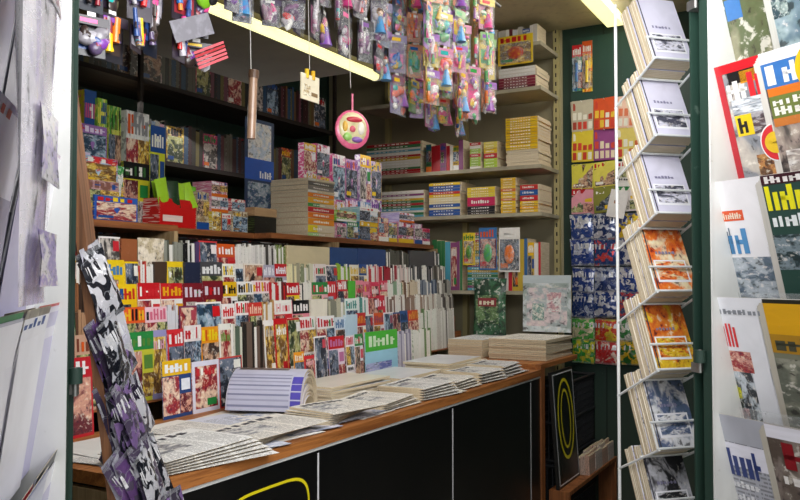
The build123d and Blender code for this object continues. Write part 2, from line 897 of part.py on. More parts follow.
# Leaning board inside the entrance at the left, with rows of foil sachets
lean_angle = math.degrees(math.asin((lean_foot - lean_top) / lean_length))
lean = entrance * Pos(lean_foot, lean_front, deck_height + 4) * Rot(0, -lean_angle, 0)
save("sachet_board", [lean * block((-lean_board, 0), (0, lean_width), (0, lean_length))])
sachets = []
sachet_width = lean_width / 2 - 4
for row in range(sachet_rows):
    low = sachet_lowest + row * sachet_pitch
    depth = min(sachet_deepest, 26 + 21 * (sachet_rows - 1 - row))
    for y in (2, lean_width - 2 - sachet_width):
        sachets.append(lean * block((wall_gap, depth), (y, y + sachet_width), (low, low + sachet_pitch - 8)))
save("foil_sachets", sachets)
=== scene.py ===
import bpy
import math
import random
from mathutils import Euler, Matrix, Vector


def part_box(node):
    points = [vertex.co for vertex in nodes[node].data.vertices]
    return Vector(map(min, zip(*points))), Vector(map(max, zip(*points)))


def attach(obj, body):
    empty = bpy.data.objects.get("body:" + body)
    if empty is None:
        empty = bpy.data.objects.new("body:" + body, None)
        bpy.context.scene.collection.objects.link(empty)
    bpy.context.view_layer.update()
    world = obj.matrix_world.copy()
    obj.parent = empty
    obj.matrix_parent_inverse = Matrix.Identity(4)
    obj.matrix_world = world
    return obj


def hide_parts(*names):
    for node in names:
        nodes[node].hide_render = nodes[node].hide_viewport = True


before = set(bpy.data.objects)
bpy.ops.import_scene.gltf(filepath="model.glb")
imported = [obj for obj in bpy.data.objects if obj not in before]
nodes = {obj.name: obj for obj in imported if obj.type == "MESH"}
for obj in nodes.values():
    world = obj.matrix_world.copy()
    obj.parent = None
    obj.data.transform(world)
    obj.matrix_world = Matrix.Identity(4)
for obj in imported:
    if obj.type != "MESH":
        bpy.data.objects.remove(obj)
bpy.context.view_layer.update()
scene = bpy.context.scene
BASE = "kiosk"

# The viewpoint, and where a point of the photograph falls on a flat surface

EYE = Vector((-2.654, -1.658, 1.42))
SIGHT = Euler((math.radians(91.93), 0, math.radians(-60.6)))
SIGHT_AXES = SIGHT.to_matrix()


def hit(column, row, point, normal):
    """Where the line of sight through a point of the photograph meets a plane."""
    line = SIGHT_AXES @ Vector(((column - 400) / 800, (250 - row) / 800, -1.0))
    return EYE + line * ((Vector(point) - EYE).dot(normal) / line.dot(normal))


def on_front(column, row, y):
    """The same on an upright plane that faces the front."""
    return hit(column, row, (0, y, 0), Vector((0, -1, 0)))


def on_end(column, row, x):
    """The same on an upright plane that faces the room's left side."""
    return hit(column, row, (x, 0, 0), Vector((-1, 0, 0)))


def tone(code):
    """A colour from its six-digit code, as the linear values that shaders use."""
    channels = []
    for start in (0, 2, 4):
        share = int(code[start:start + 2], 16) / 255
        channels.append(share / 12.92 if share <= 0.04045 else ((share + 0.055) / 1.055) ** 2.4)
    return tuple(channels) + (1.0,)


def dimmed(colour, share):
    """A colour with each channel scaled."""
    return tuple(channel * share for channel in colour[:3]) + (1.0,)


# Shader maths


class Value:
    """A shader socket that takes part in sums."""

    def __init__(self, finish, socket):
        self.finish = finish
        self.socket = socket

    def math(self, operation, first, second=0.0):
        return self.finish.node("ShaderNodeMath", {"operation": operation}, {0: first, 1: second})

    def __add__(self, other):
        return self.math("ADD", self, other)

    def __radd__(self, other):
        return self.math("ADD", other, self)

    def __sub__(self, other):
        return self.math("SUBTRACT", self, other)

    def __rsub__(self, other):
        return self.math("SUBTRACT", other, self)

    def __mul__(self, other):
        return self.math("MULTIPLY", self, other)

    def __rmul__(self, other):
        return self.math("MULTIPLY", other, self)

    def __truediv__(self, other):
        return self.math("DIVIDE", self, other)

    def __gt__(self, other):
        return self.math("GREATER_THAN", self, other)

    def __lt__(self, other):
        return self.math("LESS_THAN", self, other)

    def fract(self):
        return self.math("FRACT", self)

    def floor(self):
        return self.math("FLOOR", self)

    def absolute(self):
        return self.math("ABSOLUTE", self)

    def most(self, other):
        return self.math("MAXIMUM", self, other)

    def ramp(self, low, high, bottom=0.0, top=1.0):
        """A smooth step of this value from low to high."""
        settings = {"interpolation_type": "SMOOTHSTEP"}
        return self.finish.node("ShaderNodeMapRange", settings, {0: self, 1: low, 2: high, 3: bottom, 4: top})


class Finish:
    """A material or a world and the ways to add nodes to it."""

    def __init__(self, name, owner=None, shader="Principled BSDF"):
        self.material = owner or bpy.data.materials.new(name)
        self.material.use_nodes = True
        self.tree = self.material.node_tree
        self.shader = self.tree.nodes[shader]

    def node(self, kind, settings=None, inputs=None, out=0):
        """Add a node: its settings first, then its sockets' values or links."""
        made = self.tree.nodes.new(kind)
        for name, value in (settings or {}).items():
            setattr(made, name, value)
        for key, value in (inputs or {}).items():
            self.join(made.inputs[key], value)
        return Value(self, made.outputs[out])

    def join(self, socket, value):
        if isinstance(value, Value):
            self.tree.links.new(value.socket, socket)
        else:
            socket.default_value = value

    def set(self, **sockets):
        """Set or link the shader's sockets: base_color means Base Color."""
        for name, value in sockets.items():
            self.join(self.shader.inputs[name.replace("_", " ").title()], value)
        return self

    def split(self, vector):
        made = self.node("ShaderNodeSeparateXYZ", None, {0: vector})
        outputs = made.socket.node.outputs
        return [Value(self, outputs[index]) for index in range(3)]

    def point(self, x, y, z):
        return self.node("ShaderNodeCombineXYZ", None, {0: x, 1: y, 2: z})

    def place(self):
        return self.node("ShaderNodeTexCoord", None, None, "Object")

    def sheet(self):
        return self.split(self.node("ShaderNodeUVMap", {"uv_map": "sheet"}))

    def noise(self, vector, scale, detail=2.0, roughness=0.5, distortion=0.0):
        inputs = {"Vector": vector, "Scale": scale, "Detail": detail, "Roughness": roughness,
                  "Distortion": distortion}
        return self.node("ShaderNodeTexNoise", None, inputs)

    def mix(self, share, first, second, blend="MIX"):
        settings = {"data_type": "RGBA", "blend_type": blend}
        return self.node("ShaderNodeMix", settings, {0: share, 6: first, 7: second}, 2)

    def shift(self, colour, hue=0.5, saturation=1.0, value=1.0):
        inputs = {"Hue": hue, "Saturation": saturation, "Value": value, "Color": colour}
        return self.node("ShaderNodeHueSaturation", None, inputs)

    def bump(self, height, strength, distance=0.001):
        inputs = {"Strength": strength, "Distance": distance, "Height": height}
        return self.set(normal=self.node("ShaderNodeBump", None, inputs))

    def attribute(self, name, out=0):
        return self.node("ShaderNodeAttribute", {"attribute_name": name}, None, out)


# Finishes. The pale lining of the end wall is left of LINING_X and behind LINING_Y. The end shelves'
# uprights stand right of UPRIGHT_X, with slots on SLOT_Y.

LINING_X, LINING_Y = 1.74, -0.25
UPRIGHT_X, SLOT_Y = 1.688, -0.2212


def painted(name, colour, worn, roughness=0.42, grime=0.35, seam=0.0, lining=None):
    """Sheet metal paint with dust, streaks and rubbed spots; upright seams and a room lining where asked."""
    f = Finish(name)
    place = f.place()
    x, y, z = f.split(place)
    cloud = f.noise(place, 3.0, 5.0, 0.6)
    streak = f.noise(f.point(x * 26.0, y * 26.0, z * 1.4), 1.0, 3.0)
    rub = f.noise(place, 38.0, 4.0, 0.65).ramp(0.66, 0.74)
    dust = (0.55 - z * 0.5).ramp(0.0, 0.6) * cloud
    base = f.mix(cloud.ramp(0.35, 0.7) * 0.5, colour, dimmed(colour, 0.72))
    base = f.mix(streak.ramp(0.5, 0.75) * grime * 0.6, base, tone("2b2a25"))
    base = f.mix(rub * 0.5, base, worn)
    base = f.mix(dust * grime, base, tone("8a8474"))
    height = f.noise(place, 420.0, 2.0) + cloud * 2.0
    if seam:
        groove = (((x + y) / seam).fract() - 0.5).absolute().ramp(0.488, 0.497)
        base = f.mix(groove * 0.75, base, dimmed(colour, 0.25))
        height = height - groove * 14.0
    if lining:
        inside = (x < LINING_X) * (y > LINING_Y)
        base = f.mix(inside, base, f.mix(cloud, lining, dimmed(lining, 0.6)))
    return f.set(base_color=base, roughness=cloud * 0.2 + roughness).bump(height, 0.12, 0.0006)


def timber(name, light, dark, along="x", roughness=0.4):
    """Varnished boards: long grain, pores and a few darker bands."""
    f = Finish(name)
    place = f.place()
    x, y, z = f.split(place)
    stretched = {
        "x": f.point(x * 1.2, y * 22.0, z * 22.0),
        "y": f.point(x * 22.0, y * 1.2, z * 22.0),
        "z": f.point(x * 22.0, y * 22.0, z * 1.2),
    }[along]
    grain = f.noise(stretched, 1.6, 6.0, 0.6, 0.6)
    rings = (grain * 9.0 + f.noise(stretched, 0.5, 2.0) * 5.0).fract()
    pores = f.noise(stretched, 9.0, 2.0, 0.7).ramp(0.62, 0.72)
    base = f.mix(grain.ramp(0.3, 0.72), light, dark)
    base = f.mix(rings.ramp(0.55, 1.0) * 0.35, base, dark)
    base = f.mix(pores * 0.45, base, dimmed(dark, 0.5))
    base = f.mix(f.noise(place, 5.0, 3.0).ramp(0.6, 0.8) * 0.4, base, f.shift(base, value=0.62))
    return f.set(base_color=base, roughness=grain * 0.25 + roughness).bump(grain + pores * -0.6, 0.25, 0.0008)


def brushed(name, colour, metallic=1.0, roughness=0.32):
    """Bare metal with fine brushing and dull spots."""
    f = Finish(name)
    place = f.place()
    x, y, z = f.split(place)
    lines = f.noise(f.point(x * 3.0, y * 240.0, z * 240.0), 1.0, 3.0)
    spots = f.noise(place, 14.0, 4.0, 0.6)
    base = f.mix(spots.ramp(0.5, 0.8) * 0.5, colour, dimmed(colour, 0.6))
    f.set(base_color=f.mix(lines * 0.25, base, tone("55534e")), metallic=metallic)
    return f.set(roughness=lines * 0.15 + spots * 0.15 + roughness).bump(lines, 0.1, 0.0004)


def shelf_metal():
    """Beige shelf sheets with slotted, yellowed uprights at the wall; the slots are painted near black as painted
    shade.
    """
    f = Finish("grey_shelf")
    place = f.place()
    x, y, z = f.split(place)
    cloud = f.noise(place, 6.0, 4.0, 0.6)
    upright = x > UPRIGHT_X
    slot_shade = ((z * 20.0).fract() < 0.45) * ((y - SLOT_Y).absolute() < 0.004)
    base = f.mix(cloud.ramp(0.35, 0.7) * 0.6, tone("b0a890"), tone("857c66"))
    base = f.mix(upright * 0.8, base, tone("b9ab72"))
    # The slots are painted near black: painted shade in the holes. They are also dented in the bump.
    base = f.mix(slot_shade * upright, base, tone("1c1a14"))
    return f.set(base_color=base, roughness=cloud * 0.2 + 0.42).bump(cloud - slot_shade * 3.0, 0.15, 0.0008)


def printed(name, gloss=0.28, picture=2.2, lively=1.0):
    """Covers, cards and page edges. Each sheet's colours and seed come with its mesh."""
    f = Finish(name)
    x, y, _ = f.sheet()
    tint = f.attribute("tint")
    accent = f.attribute("accent")
    seed, part, kind = f.split(f.attribute("marks", 1))
    here = f.point(x + seed * 40.0, y * 1.3 + seed * 23.0, seed * 7.0)
    # A picture without a subject: patches of the two colours, with paler and darker shapes
    cloud = f.noise(here, picture, 3.0, 0.55, 0.6)
    shade = f.noise(here, picture * 3.1, 4.0, 0.6, 0.3)
    photo = f.mix(cloud.ramp(0.44, 0.56), tint, accent)
    photo = f.shift(photo, 0.5 + (shade - 0.5) * 0.14 * lively, 1.0, shade * 1.2 + 0.35)
    photo = f.mix(shade.ramp(0.57, 0.64) * 0.6, photo, tone("e9e2d8"))
    photo = f.mix((1.0 - shade).ramp(0.58, 0.66) * 0.7, photo, tone("231f22"))
    flat = f.shift(tint, 0.5, 1.0, cloud * 0.3 + 0.84)
    sheet = f.mix((kind > 0.34) * (kind < 0.67), flat, photo)
    # Small print: fine broken grey lines in columns
    rows = y * 30.0
    ticks = f.noise(f.point(x * 40.0 + seed * 19.0, rows.floor() * 3.7, seed * 5.0), 1.0, 1.0) > 0.42
    lines = (rows.fract() < 0.5) * ticks * ((x * 3.0).fract() < 0.88) * (y < 0.8) * (kind > 0.67)
    sheet = f.mix(lines * 0.6, sheet, tone("56555a"))
    # Page edges and spines
    leaves = f.noise(f.point(x * 3.0 + seed * 5.0, y * 60.0, seed), 1.0, 2.0)
    pages = f.mix(leaves, tone("b59d76"), tone("f0e4ca"))
    marks = f.noise(f.point(x * 2.0, y * 19.0 + seed * 47.0, seed), 1.0, 1.0).ramp(0.52, 0.55)
    spine = f.mix(marks * 0.75, f.shift(tint, 0.5, 1.0, shade * 0.5 + 0.7), accent)
    colour = f.mix(part > 0.5, sheet, f.mix(part > 1.5, pages, spine))
    colour = f.mix(part > 2.5, colour, flat)
    wear = f.noise(f.place(), 60.0, 3.0, 0.6)
    edge = (part > 0.5) * (part < 1.5)
    f.set(base_color=f.mix(wear.ramp(0.62, 0.8) * 0.1, colour, tone("d8d2c4")))
    f.set(roughness=edge * 0.5 + wear * 0.12 + gloss)
    return f.bump(wear + leaves * edge * 2.0, 0.15, 0.0006)


def moulded(name, roughness=0.3, clear=0.0):
    """Coloured plastic that takes its colour from the mesh."""
    f = Finish(name)
    place = f.place()
    mottle = f.noise(place, 55.0, 3.0)
    base = f.mix(mottle.ramp(0.45, 0.75) * 0.5, f.attribute("tint"), f.attribute("accent"))
    f.set(base_color=base, roughness=mottle * 0.2 + roughness, coat_weight=clear)
    return f.bump(f.noise(place, 160.0, 2.0), 0.12, 0.0008)


def film(name):
    """Thin clear wrap or sheet, with painted highlights along its creases."""
    f = Finish(name)
    place = f.place()
    crease = f.noise(place, 34.0, 4.0, 0.6, 1.2)
    crease_highlight = (crease - 0.5).absolute().ramp(0.05, 0.0)
    # Along the creases the wrap is painted whiter and less clear: painted highlights on the folds.
    f.set(base_color=f.mix(crease_highlight, tone("e8eef0"), tone("ffffff")), alpha=crease_highlight * 0.22 + crease * 0.06 + 0.04)
    return f.set(roughness=crease * 0.2 + 0.12).bump(crease, 0.3, 0.002)


def clear_sheet(name):
    """Clear rigid plastic, nearly invisible face-on, with fine scuffs."""
    f = Finish(name)
    scuff = f.noise(f.place(), 90.0, 3.0, 0.6).ramp(0.55, 0.75)
    f.set(base_color=f.mix(scuff, tone("eef2f4"), tone("ffffff")), alpha=scuff * 0.15 + 0.12)
    return f.set(roughness=scuff * 0.3 + 0.08).bump(scuff, 0.1, 0.0005)


def foil(name):
    """Shiny sachets with crimped ends and crumpled faces."""
    f = Finish(name)
    place = f.place()
    x, y, _ = f.sheet()
    seed, _, _ = f.split(f.attribute("marks", 1))
    crumple = f.noise(place, 30.0, 3.0, 0.5, 0.6)
    here = f.point(x * 2.0 + seed * 31.0, y * 2.6 + seed * 17.0, seed)
    patch = f.noise(here, 1.7, 2.0, 0.5, 0.5).ramp(0.5, 0.54)
    colour = f.mix(patch, f.attribute("tint"), f.attribute("accent"))
    band = (y > 0.6) * (y < 0.8) * (f.noise(f.point(x * 12.0 + seed * 9.0, y, seed), 1.0, 1.0) > 0.5)
    colour = f.mix(band, colour, tone("e6e6ea"))
    glint = (crumple - 0.5).absolute().ramp(0.02, 0.0)
    colour = f.mix(glint * 0.3, colour, tone("dfe2ea"))
    crimp = ((x * 60.0).fract() > 0.5) * ((y - 0.5).absolute() > 0.44)
    colour = f.mix(crimp * 0.5, colour, tone("c9ccd2"))
    f.set(base_color=colour, roughness=crumple * 0.25 + 0.14, metallic=patch * 0.2 + 0.25)
    return f.bump(crumple + crimp * 0.3, 0.9, 0.004)


def glow(name, colour, strength):
    """A lit tube, a little warmer in places."""
    f = Finish(name)
    cloud = f.noise(f.place(), 6.0, 2.0)
    f.set(base_color=tone("f4f6f6"), emission_color=f.mix(cloud * 0.2, colour, tone("ffe9b8")))
    return f.set(roughness=cloud * 0.1 + 0.3, emission_strength=strength)


# Goods as meshes


def bars(chance, left, low, right, high, colour, count):
    """A row of upright strokes in place of a title, as shares of a cover."""
    pitch = (right - left) / count
    strokes = []
    for index in range(count):
        start = left + index * pitch
        tall = chance.choice((1.0, 1.0, 0.74, 0.74, 0.86))
        strokes.append((start, low, start + pitch * chance.uniform(0.45, 0.8), low + (high - low) * tall, colour))
        if chance.random() < 0.4:
            strokes.append((start, low + (high - low) * 0.38, start + pitch, low + (high - low) * 0.56, colour))
    return strokes


PICTURES = (("4a3a34", "c9a184"), ("2e4660", "9fb8cc"), ("6a2430", "d8a08c"), ("3a4a34", "b8b878"),
            ("54504e", "c8c0b8"), ("7a5a30", "e0b850"), ("a02c34", "e8c8b0"), ("283040", "707c90"))
TITLES = ("c81c26", "f4f2ec", "16161a", "e8b818", "1c4c94", "c81c26", "d85a20", "2c8a44")


def cover_art(chance, tint, style=None):
    """Blocks, a title of strokes and labels for a cover of a plain colour."""
    style = chance.randrange(6) if style is None else style
    title = chance.choice([code for code in TITLES if code != tint])
    picture = chance.choice(PICTURES)
    other = chance.choice(PICTURES)
    label = chance.choice(("e8c020", "c81c26", "f4f2ec", "2c8a44", "e07020", "1c4c94"))
    if style == 0:
        return [[(0.05, 0.04, 0.95, 0.74, picture)],
                bars(chance, 0.07, 0.78, 0.9, 0.95, title, 5) + [(0.08, 0.1, 0.42, 0.2, label)]]
    if style == 1:
        return [[(0.0, 0.74, 1.0, 1.0, title), (0.0, 0.06, 0.55, 0.72, picture), (0.57, 0.06, 1.0, 0.4, other)],
                bars(chance, 0.08, 0.79, 0.92, 0.94, "f4f2ec" if title != "f4f2ec" else "c81c26", 5)
                + [(0.62, 0.46, 0.94, 0.66, label)]]
    if style == 2:
        return [[(0.09, 0.08, 0.91, 0.9, picture)],
                bars(chance, 0.14, 0.72, 0.86, 0.86, "f4f2ec", 5) + [(0.5, 0.12, 0.86, 0.26, label)]]
    if style == 5:
        return [[(0.04, 0.03, 0.96, 0.97, picture)],
                bars(chance, 0.1, 0.1, 0.6, 0.18, "f4f2ec", 4) + [(0.62, 0.76, 0.92, 0.93, label)]]
    if style == 3:
        return [[(0.0, 0.36, 0.5, 0.76, picture), (0.5, 0.36, 1.0, 0.76, other), (0.0, 0.0, 1.0, 0.2, label)],
                bars(chance, 0.05, 0.8, 0.95, 0.97, title, 6) + bars(chance, 0.1, 0.24, 0.8, 0.32, "3a3a3e", 7)]
    return [[(0.12, 0.3, 0.6, 0.68, picture)],
            bars(chance, 0.08, 0.76, 0.9, 0.93, title, 4) + bars(chance, 0.1, 0.14, 0.85, 0.2, "6a6a6e", 8)]


# What a face is: a printed face, cut page edges, a spine or a plain block. Then what is printed on it: one
# colour, one colour on paper, a picture or small print. Last, the finishes in the order of SET.
FACE, EDGE, SPINE, BLOCK = range(4)
PLAIN, PAPER, PHOTO, PRINT = 0.1, 0.2, 0.5, 0.8
COVER, FILM, TOY, CARD, NEWS, FOIL, MATT = range(7)


class Goods:
    """One joined mesh of goods. Every face carries its colours, a seed and a finish."""

    def __init__(self, seed=1):
        self.chance = random.Random(seed)
        self.points = []
        self.faces = []
        self.sheet = []
        self.tint = []
        self.accent = []
        self.marks = []
        self.finish = []

    def look(self, tints, accents=None, kind=None):
        """Colours, a seed and what is printed, for one thing."""
        chance = self.chance
        tint = tone(tints if isinstance(tints, str) else chance.choice(tints))
        accents = accents or tints
        accent = tone(accents if isinstance(accents, str) else chance.choice(accents))
        return tint, accent, chance.random(), chance.random() if kind is None else kind

    def flat(self, colour):
        """One plain colour."""
        return self.look(colour, None, PLAIN)

    def patch(self, place, across, up, shape, look, part=FACE, finish=COVER, flip=False):
        """A grid of faces; shape gives a local point for two shares from 0 to 1."""
        first = len(self.points)
        for j in range(up + 1):
            for i in range(across + 1):
                self.points.append(place @ Vector(shape(i / across, j / up)))
        tint, accent, seed, kind = look
        for j in range(up):
            for i in range(across):
                corner = first + j * (across + 1) + i
                ring = [(corner, i, j), (corner + 1, i + 1, j), (corner + across + 2, i + 1, j + 1),
                        (corner + across + 1, i, j + 1)]
                if flip:
                    ring.reverse()
                self.faces.append([index for index, _, _ in ring])
                for _, a, b in ring:
                    self.sheet.append((a / across, b / up))
                self.tint += [tint] * 4
                self.accent += [accent] * 4
                self.marks += [(seed, part, kind, 1.0)] * 4
                self.finish.append(finish)

    def layers(self, place, front, layers, finish):
        """Printed blocks on a surface, each layer a hair above the one before."""
        for number, layer in enumerate(layers):
            lift = Vector((0, 0, 0.0005 * (number + 1)))
            for left, low, right, high, colour in layer:
                if right - left < 0.004 or high - low < 0.004:
                    continue

                def shape(s, t, box=(left, low, right, high), lift=lift):
                    return Vector(front(box[0] + (box[2] - box[0]) * s, box[1] + (box[3] - box[1]) * t)) + lift

                plain = isinstance(colour, str)
                look = self.flat(colour) if plain else self.look(colour[0], colour[1], PHOTO)
                wide = right - left > 0.4
                self.patch(place, 3 if wide else 1, 1, shape, look, BLOCK if plain else FACE, finish)

    def sides(self, place, front, back, across, up, look, spine, finish):
        """The left, right and far edges between a front and a back face."""
        self.patch(place, 1, up, lambda s, t: back(0, t) if s == 0 else front(0, t), look, spine, finish)
        self.patch(place, 1, up, lambda s, t: front(1, t) if s == 0 else back(1, t), look, EDGE, finish)
        self.patch(place, across, 1, lambda s, t: front(s, 1) if t == 0 else back(s, 1), look, EDGE, finish)

    def booklet(self, place, width, height, thick, look, layers=(), curl=0.0, finish=COVER, spine=SPINE, grid=3):
        """A magazine or book that faces local +Z: front and back, page edges on three sides."""
        def front(s, t):
            return s * width, t * height, curl * math.sin(math.pi * s)

        def back(s, t):
            return s * width, t * height, curl * math.sin(math.pi * s) - thick

        self.patch(place, grid, grid, front, look, FACE, finish)
        self.patch(place, grid, grid, back, look, FACE, finish, flip=True)
        self.sides(place, front, back, grid, grid, look, spine, finish)
        self.patch(place, grid, 1, lambda s, t: back(s, 0) if t == 0 else front(s, 0), look, EDGE, finish)
        self.layers(place, front, layers, finish)

    def card(self, place, width, height, look, layers=(), finish=CARD, wave=0.0):
        """A thin card or sheet that faces local +Z."""
        def front(s, t):
            return s * width, t * height, wave * math.sin(4 * t + 2 * s)

        self.patch(place, 2, 2, front, look, FACE, finish)
        back = Vector((0, 0, -0.0012))
        self.patch(place, 2, 2, lambda s, t: Vector(front(s, t)) + back, look, FACE, finish, flip=True)
        self.layers(place, front, layers, finish)

    def carton(self, place, width, height, depth, look, layers=(), bulge=0.003, finish=CARD):
        """A printed box that faces local +Z, with slightly bulged panels and soft edges."""
        soft = min(width, height, depth) * 0.06

        def panel(origin, right, above, out, w, h):
            def shape(s, t):
                swell = bulge * math.sin(math.pi * s) * math.sin(math.pi * t)
                rim = 0.0 if 0 < s < 1 and 0 < t < 1 else 1.0
                return origin + right * (s * w) + above * (t * h) + out * (swell - soft * 0.35 * rim)
            return shape

        ex, ey, ez = Vector((1, 0, 0)), Vector((0, 1, 0)), Vector((0, 0, 1))
        zero = Vector((0, 0, 0))
        self.patch(place, 4, 4, panel(zero, ex, ey, ez, width, height), look, FACE, finish)
        self.patch(place, 2, 3, panel(ex * width, -ez, ey, ex, depth, height), look, SPINE, finish)
        self.patch(place, 2, 3, panel(-ez * depth, ez, ey, -ex, depth, height), look, SPINE, finish)
        self.patch(place, 3, 2, panel(ey * height, ex, -ez, ey, width, depth), look, SPINE, finish)
        self.patch(place, 2, 2, panel(ex * width - ez * depth, -ex, ey, -ez, width, height), look, FACE, finish)
        self.patch(place, 2, 2, panel(-ez * depth, ex, ez, -ey, width, depth), look, SPINE, finish)

        def face(s, t):
            return s * width, t * height, bulge * math.sin(math.pi * s) * math.sin(math.pi * t) + 0.0004

        self.layers(place, face, layers, finish)

    def ball(self, place, radii, look, finish=TOY, around=7, up=5, power=1.0):
        """A rounded lump with three radii."""
        def shape(s, t):
            turn = 2 * math.pi * s
            rise = math.pi * (t - 0.5)
            flat = math.cos(rise) ** power
            return radii[0] * flat * math.cos(turn), radii[1] * math.sin(rise), radii[2] * flat * math.sin(turn)
        self.patch(place, around, up, shape, look, FACE, finish, flip=True)

    def tube(self, place, start, end, radius, look, finish=TOY, around=8, taper=1.0):
        """A round bar between two local points, closed at its ends."""
        a, b = Vector(start), Vector(end)
        along = (b - a).normalized()
        side = along.orthogonal().normalized()
        other = along.cross(side)

        def ring(centre, r, turn):
            return centre + side * (r * math.cos(turn)) + other * (r * math.sin(turn))

        def wall(s, t):
            return ring(a + (b - a) * t, radius * (1 + (taper - 1) * t), 2 * math.pi * s)

        self.patch(place, around, 1, wall, look, FACE, finish)
        for centre, r, flip in ((a, radius, True), (b, radius * taper, False)):
            self.patch(place, around, 1, lambda s, t, c=centre, r=r: ring(c, r * (1 - t), 2 * math.pi * s),
                       look, FACE, finish, flip=flip)

    def ring(self, place, across, up, band, look, finish=CARD, around=28, thick=0.001, corners=1.0):
        """A flat band that faces local +Z: an oval, or with low corners a rounded rectangle."""
        def bent(value):
            return math.copysign(abs(value) ** corners, value)

        def shape(s, t):
            turn = -2 * math.pi * s
            inset = band * (1 - t)
            return (across - inset) * bent(math.cos(turn)), (up - inset) * bent(math.sin(turn)), thick
        self.patch(place, around, 1, shape, look, BLOCK, finish)

    def pillow(self, place, width, height, thick, look, finish=COVER, wrinkle=0.0, sides=6):
        """A filled bag or sachet with flat crimped ends, facing local +Z."""
        first, second = self.chance.uniform(-3, 3), self.chance.uniform(-3, 3)

        def side(face):
            def shape(s, t):
                filled = min(1, max(0, (t - 0.07) / 0.86))
                swell = max(math.sin(math.pi * s) * math.sin(math.pi * filled), 0.0) ** 0.6
                ripple = wrinkle * math.sin(5 * s + first) * math.sin(7 * t + second) * swell
                squeeze = 1 - 0.06 * math.sin(math.pi * t) * (2 * abs(s - 0.5)) ** 2
                return (s - 0.5) * width * squeeze + width / 2, t * height, face * thick / 2 * swell + ripple
            return shape
        self.patch(place, sides, sides + 2, side(1), look, FACE, finish)
        self.patch(place, sides, sides + 2, side(-1), look, FACE, finish, flip=True)

    def make(self, name, body, replaces=()):
        """Turn the goods into one object that rides on a body."""
        mesh = bpy.data.meshes.new(name)
        mesh.from_pydata([tuple(p) for p in self.points], [], self.faces)
        layer = mesh.uv_layers.new(name="sheet")
        layer.data.foreach_set("uv", [value for uv in self.sheet for value in uv])
        for title, values in (("tint", self.tint), ("accent", self.accent), ("marks", self.marks)):
            data = mesh.color_attributes.new(title, "FLOAT_COLOR", "CORNER").data
            data.foreach_set("color", [channel for value in values for channel in value])
        for finish in SET:
            mesh.materials.append(finish.material)
        mesh.polygons.foreach_set("material_index", self.finish)
        mesh.polygons.foreach_set("use_smooth", [True] * len(self.faces))
        mesh.update()
        piece = bpy.data.objects.new(name, mesh)
        scene.collection.objects.link(piece)
        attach(piece, body)
        if replaces:
            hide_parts(*replaces)
        return piece


def moved(x, y, z):
    """A shift."""
    return Matrix.Translation((x, y, z))


def turned(degrees, axis):
    """A turn about one axis."""
    return Matrix.Rotation(math.radians(degrees), 4, axis)


def facing(x, y, z, turn=0.0, lean=0.0):
    """A place for something that faces -Y: its width runs along X and its height up."""
    return moved(x, y, z) @ turned(turn, "Z") @ turned(90 + lean, "X")


def sideways(x, y, z, turn=0.0, lean=0.0):
    """A place for something that faces -X: its width runs along -Y and its height up."""
    return moved(x, y, z) @ turned(turn - 90, "Z") @ turned(90 + lean, "X")


def lying(x, y, z, turn=0.0):
    """A place for something that lies flat: its width along X and its height along Y."""
    return moved(x, y, z) @ turned(turn, "Z")


COVERS = ("b3202a", "e9e4da", "d8b02a", "1f4f8c", "2a2a2c", "d9562a", "e6dccb", "8fb7cf", "c9c2b4", "7a1f5c",
          "3c7f4a", "e8c9c4", "f0efe9", "44525f", "c43c6b")
BRIGHTS = ("e02020", "f4c81c", "f6f4ee", "1a6fc4", "36a348", "f07a1c", "e84a92", "7d3fa0", "20b4b0")
CLEAR = "f0f2f4"
PALES = ("efece4", "e2ddd2", "d7d9dc", "cfd6dc", "e9dfd0", "f3f1ec", "c9c3b8")
DARKS = ("1c1c20", "2b2e38", "3a1f22", "20303a", "2d2a26")

SET = [printed("cover_print", 0.26), film("clear_film"), moulded("toy_plastic", 0.22, 0.3),
       printed("card_print", 0.3, 3.0, 1.6), printed("newsprint", 0.6, 2.6, 0.3), foil("sachet_foil"),
       moulded("matt_plastic", 0.45)]

# Finishes of the pieces that keep their solids

green = painted("dark_green_paint", tone("1f3a30"), tone("54665c"), seam=0.62)
end_wall = painted("end_wall_paint", tone("1f3a30"), tone("54665c"), seam=0.62, lining=tone("aaa182"))
green_post = painted("dark_green_posts", tone("1f3a30"), tone("54665c"))
green_inside = painted("green_sheet", tone("24483c"), tone("5b7266"), 0.5)
cream = painted("cream_paint", tone("cfc39c"), tone("a89c78"), 0.45, 0.3)
white_paint = painted("white_paint", tone("e6e7e4"), tone("b9b8b2"), 0.35, 0.18)
roof_paint = painted("roof_sheet", tone("84898a"), tone("6d675c"), 0.5, 0.5, 0.6)
deck_finish = painted("deck_sheet", tone("5b5b58"), tone("77756e"), 0.55, 0.6)
olive = painted("olive_panel", tone("5c5238"), tone("77704f"), 0.5, 0.3)
black_sign = painted("black_sign", tone("0d0d0e"), tone("2a2a2c"), 0.22, 0.12)
counter_wood = timber("counter_wood", tone("c07c40"), tone("74401a"))
shelf_wood = timber("shelf_wood", tone("a8683a"), tone("6a3a1a"))
board_wood = timber("board_wood", tone("8a5a34"), tone("4d2c14"), "z", 0.5)
pale_wood = timber("pale_board", tone("b59a72"), tone("8a6f49"), "z", 0.55)
dark_wood = timber("dark_shelf", tone("2c2019"), tone("150e0a"), "x", 0.5)
post_wood = timber("post_wood", tone("a9693a"), tone("70401d"), "z", 0.42)
aluminium = painted("white_channel", tone("dfe0de"), tone("b0b0ac"), 0.3, 0.15)
steel = brushed("steel", tone("9a9a97"), 0.9)
wire_white = painted("white_wire", tone("eceeee"), tone("b0b0ac"), 0.3, 0.08)
tube_light = glow("tube_light", tone("fbf5a2"), 1.35)
white_plastic = painted("white_plastic", tone("e9e9e6"), tone("c9c7c0"), 0.35, 0.1)
clear_holder = clear_sheet("clear_holder")

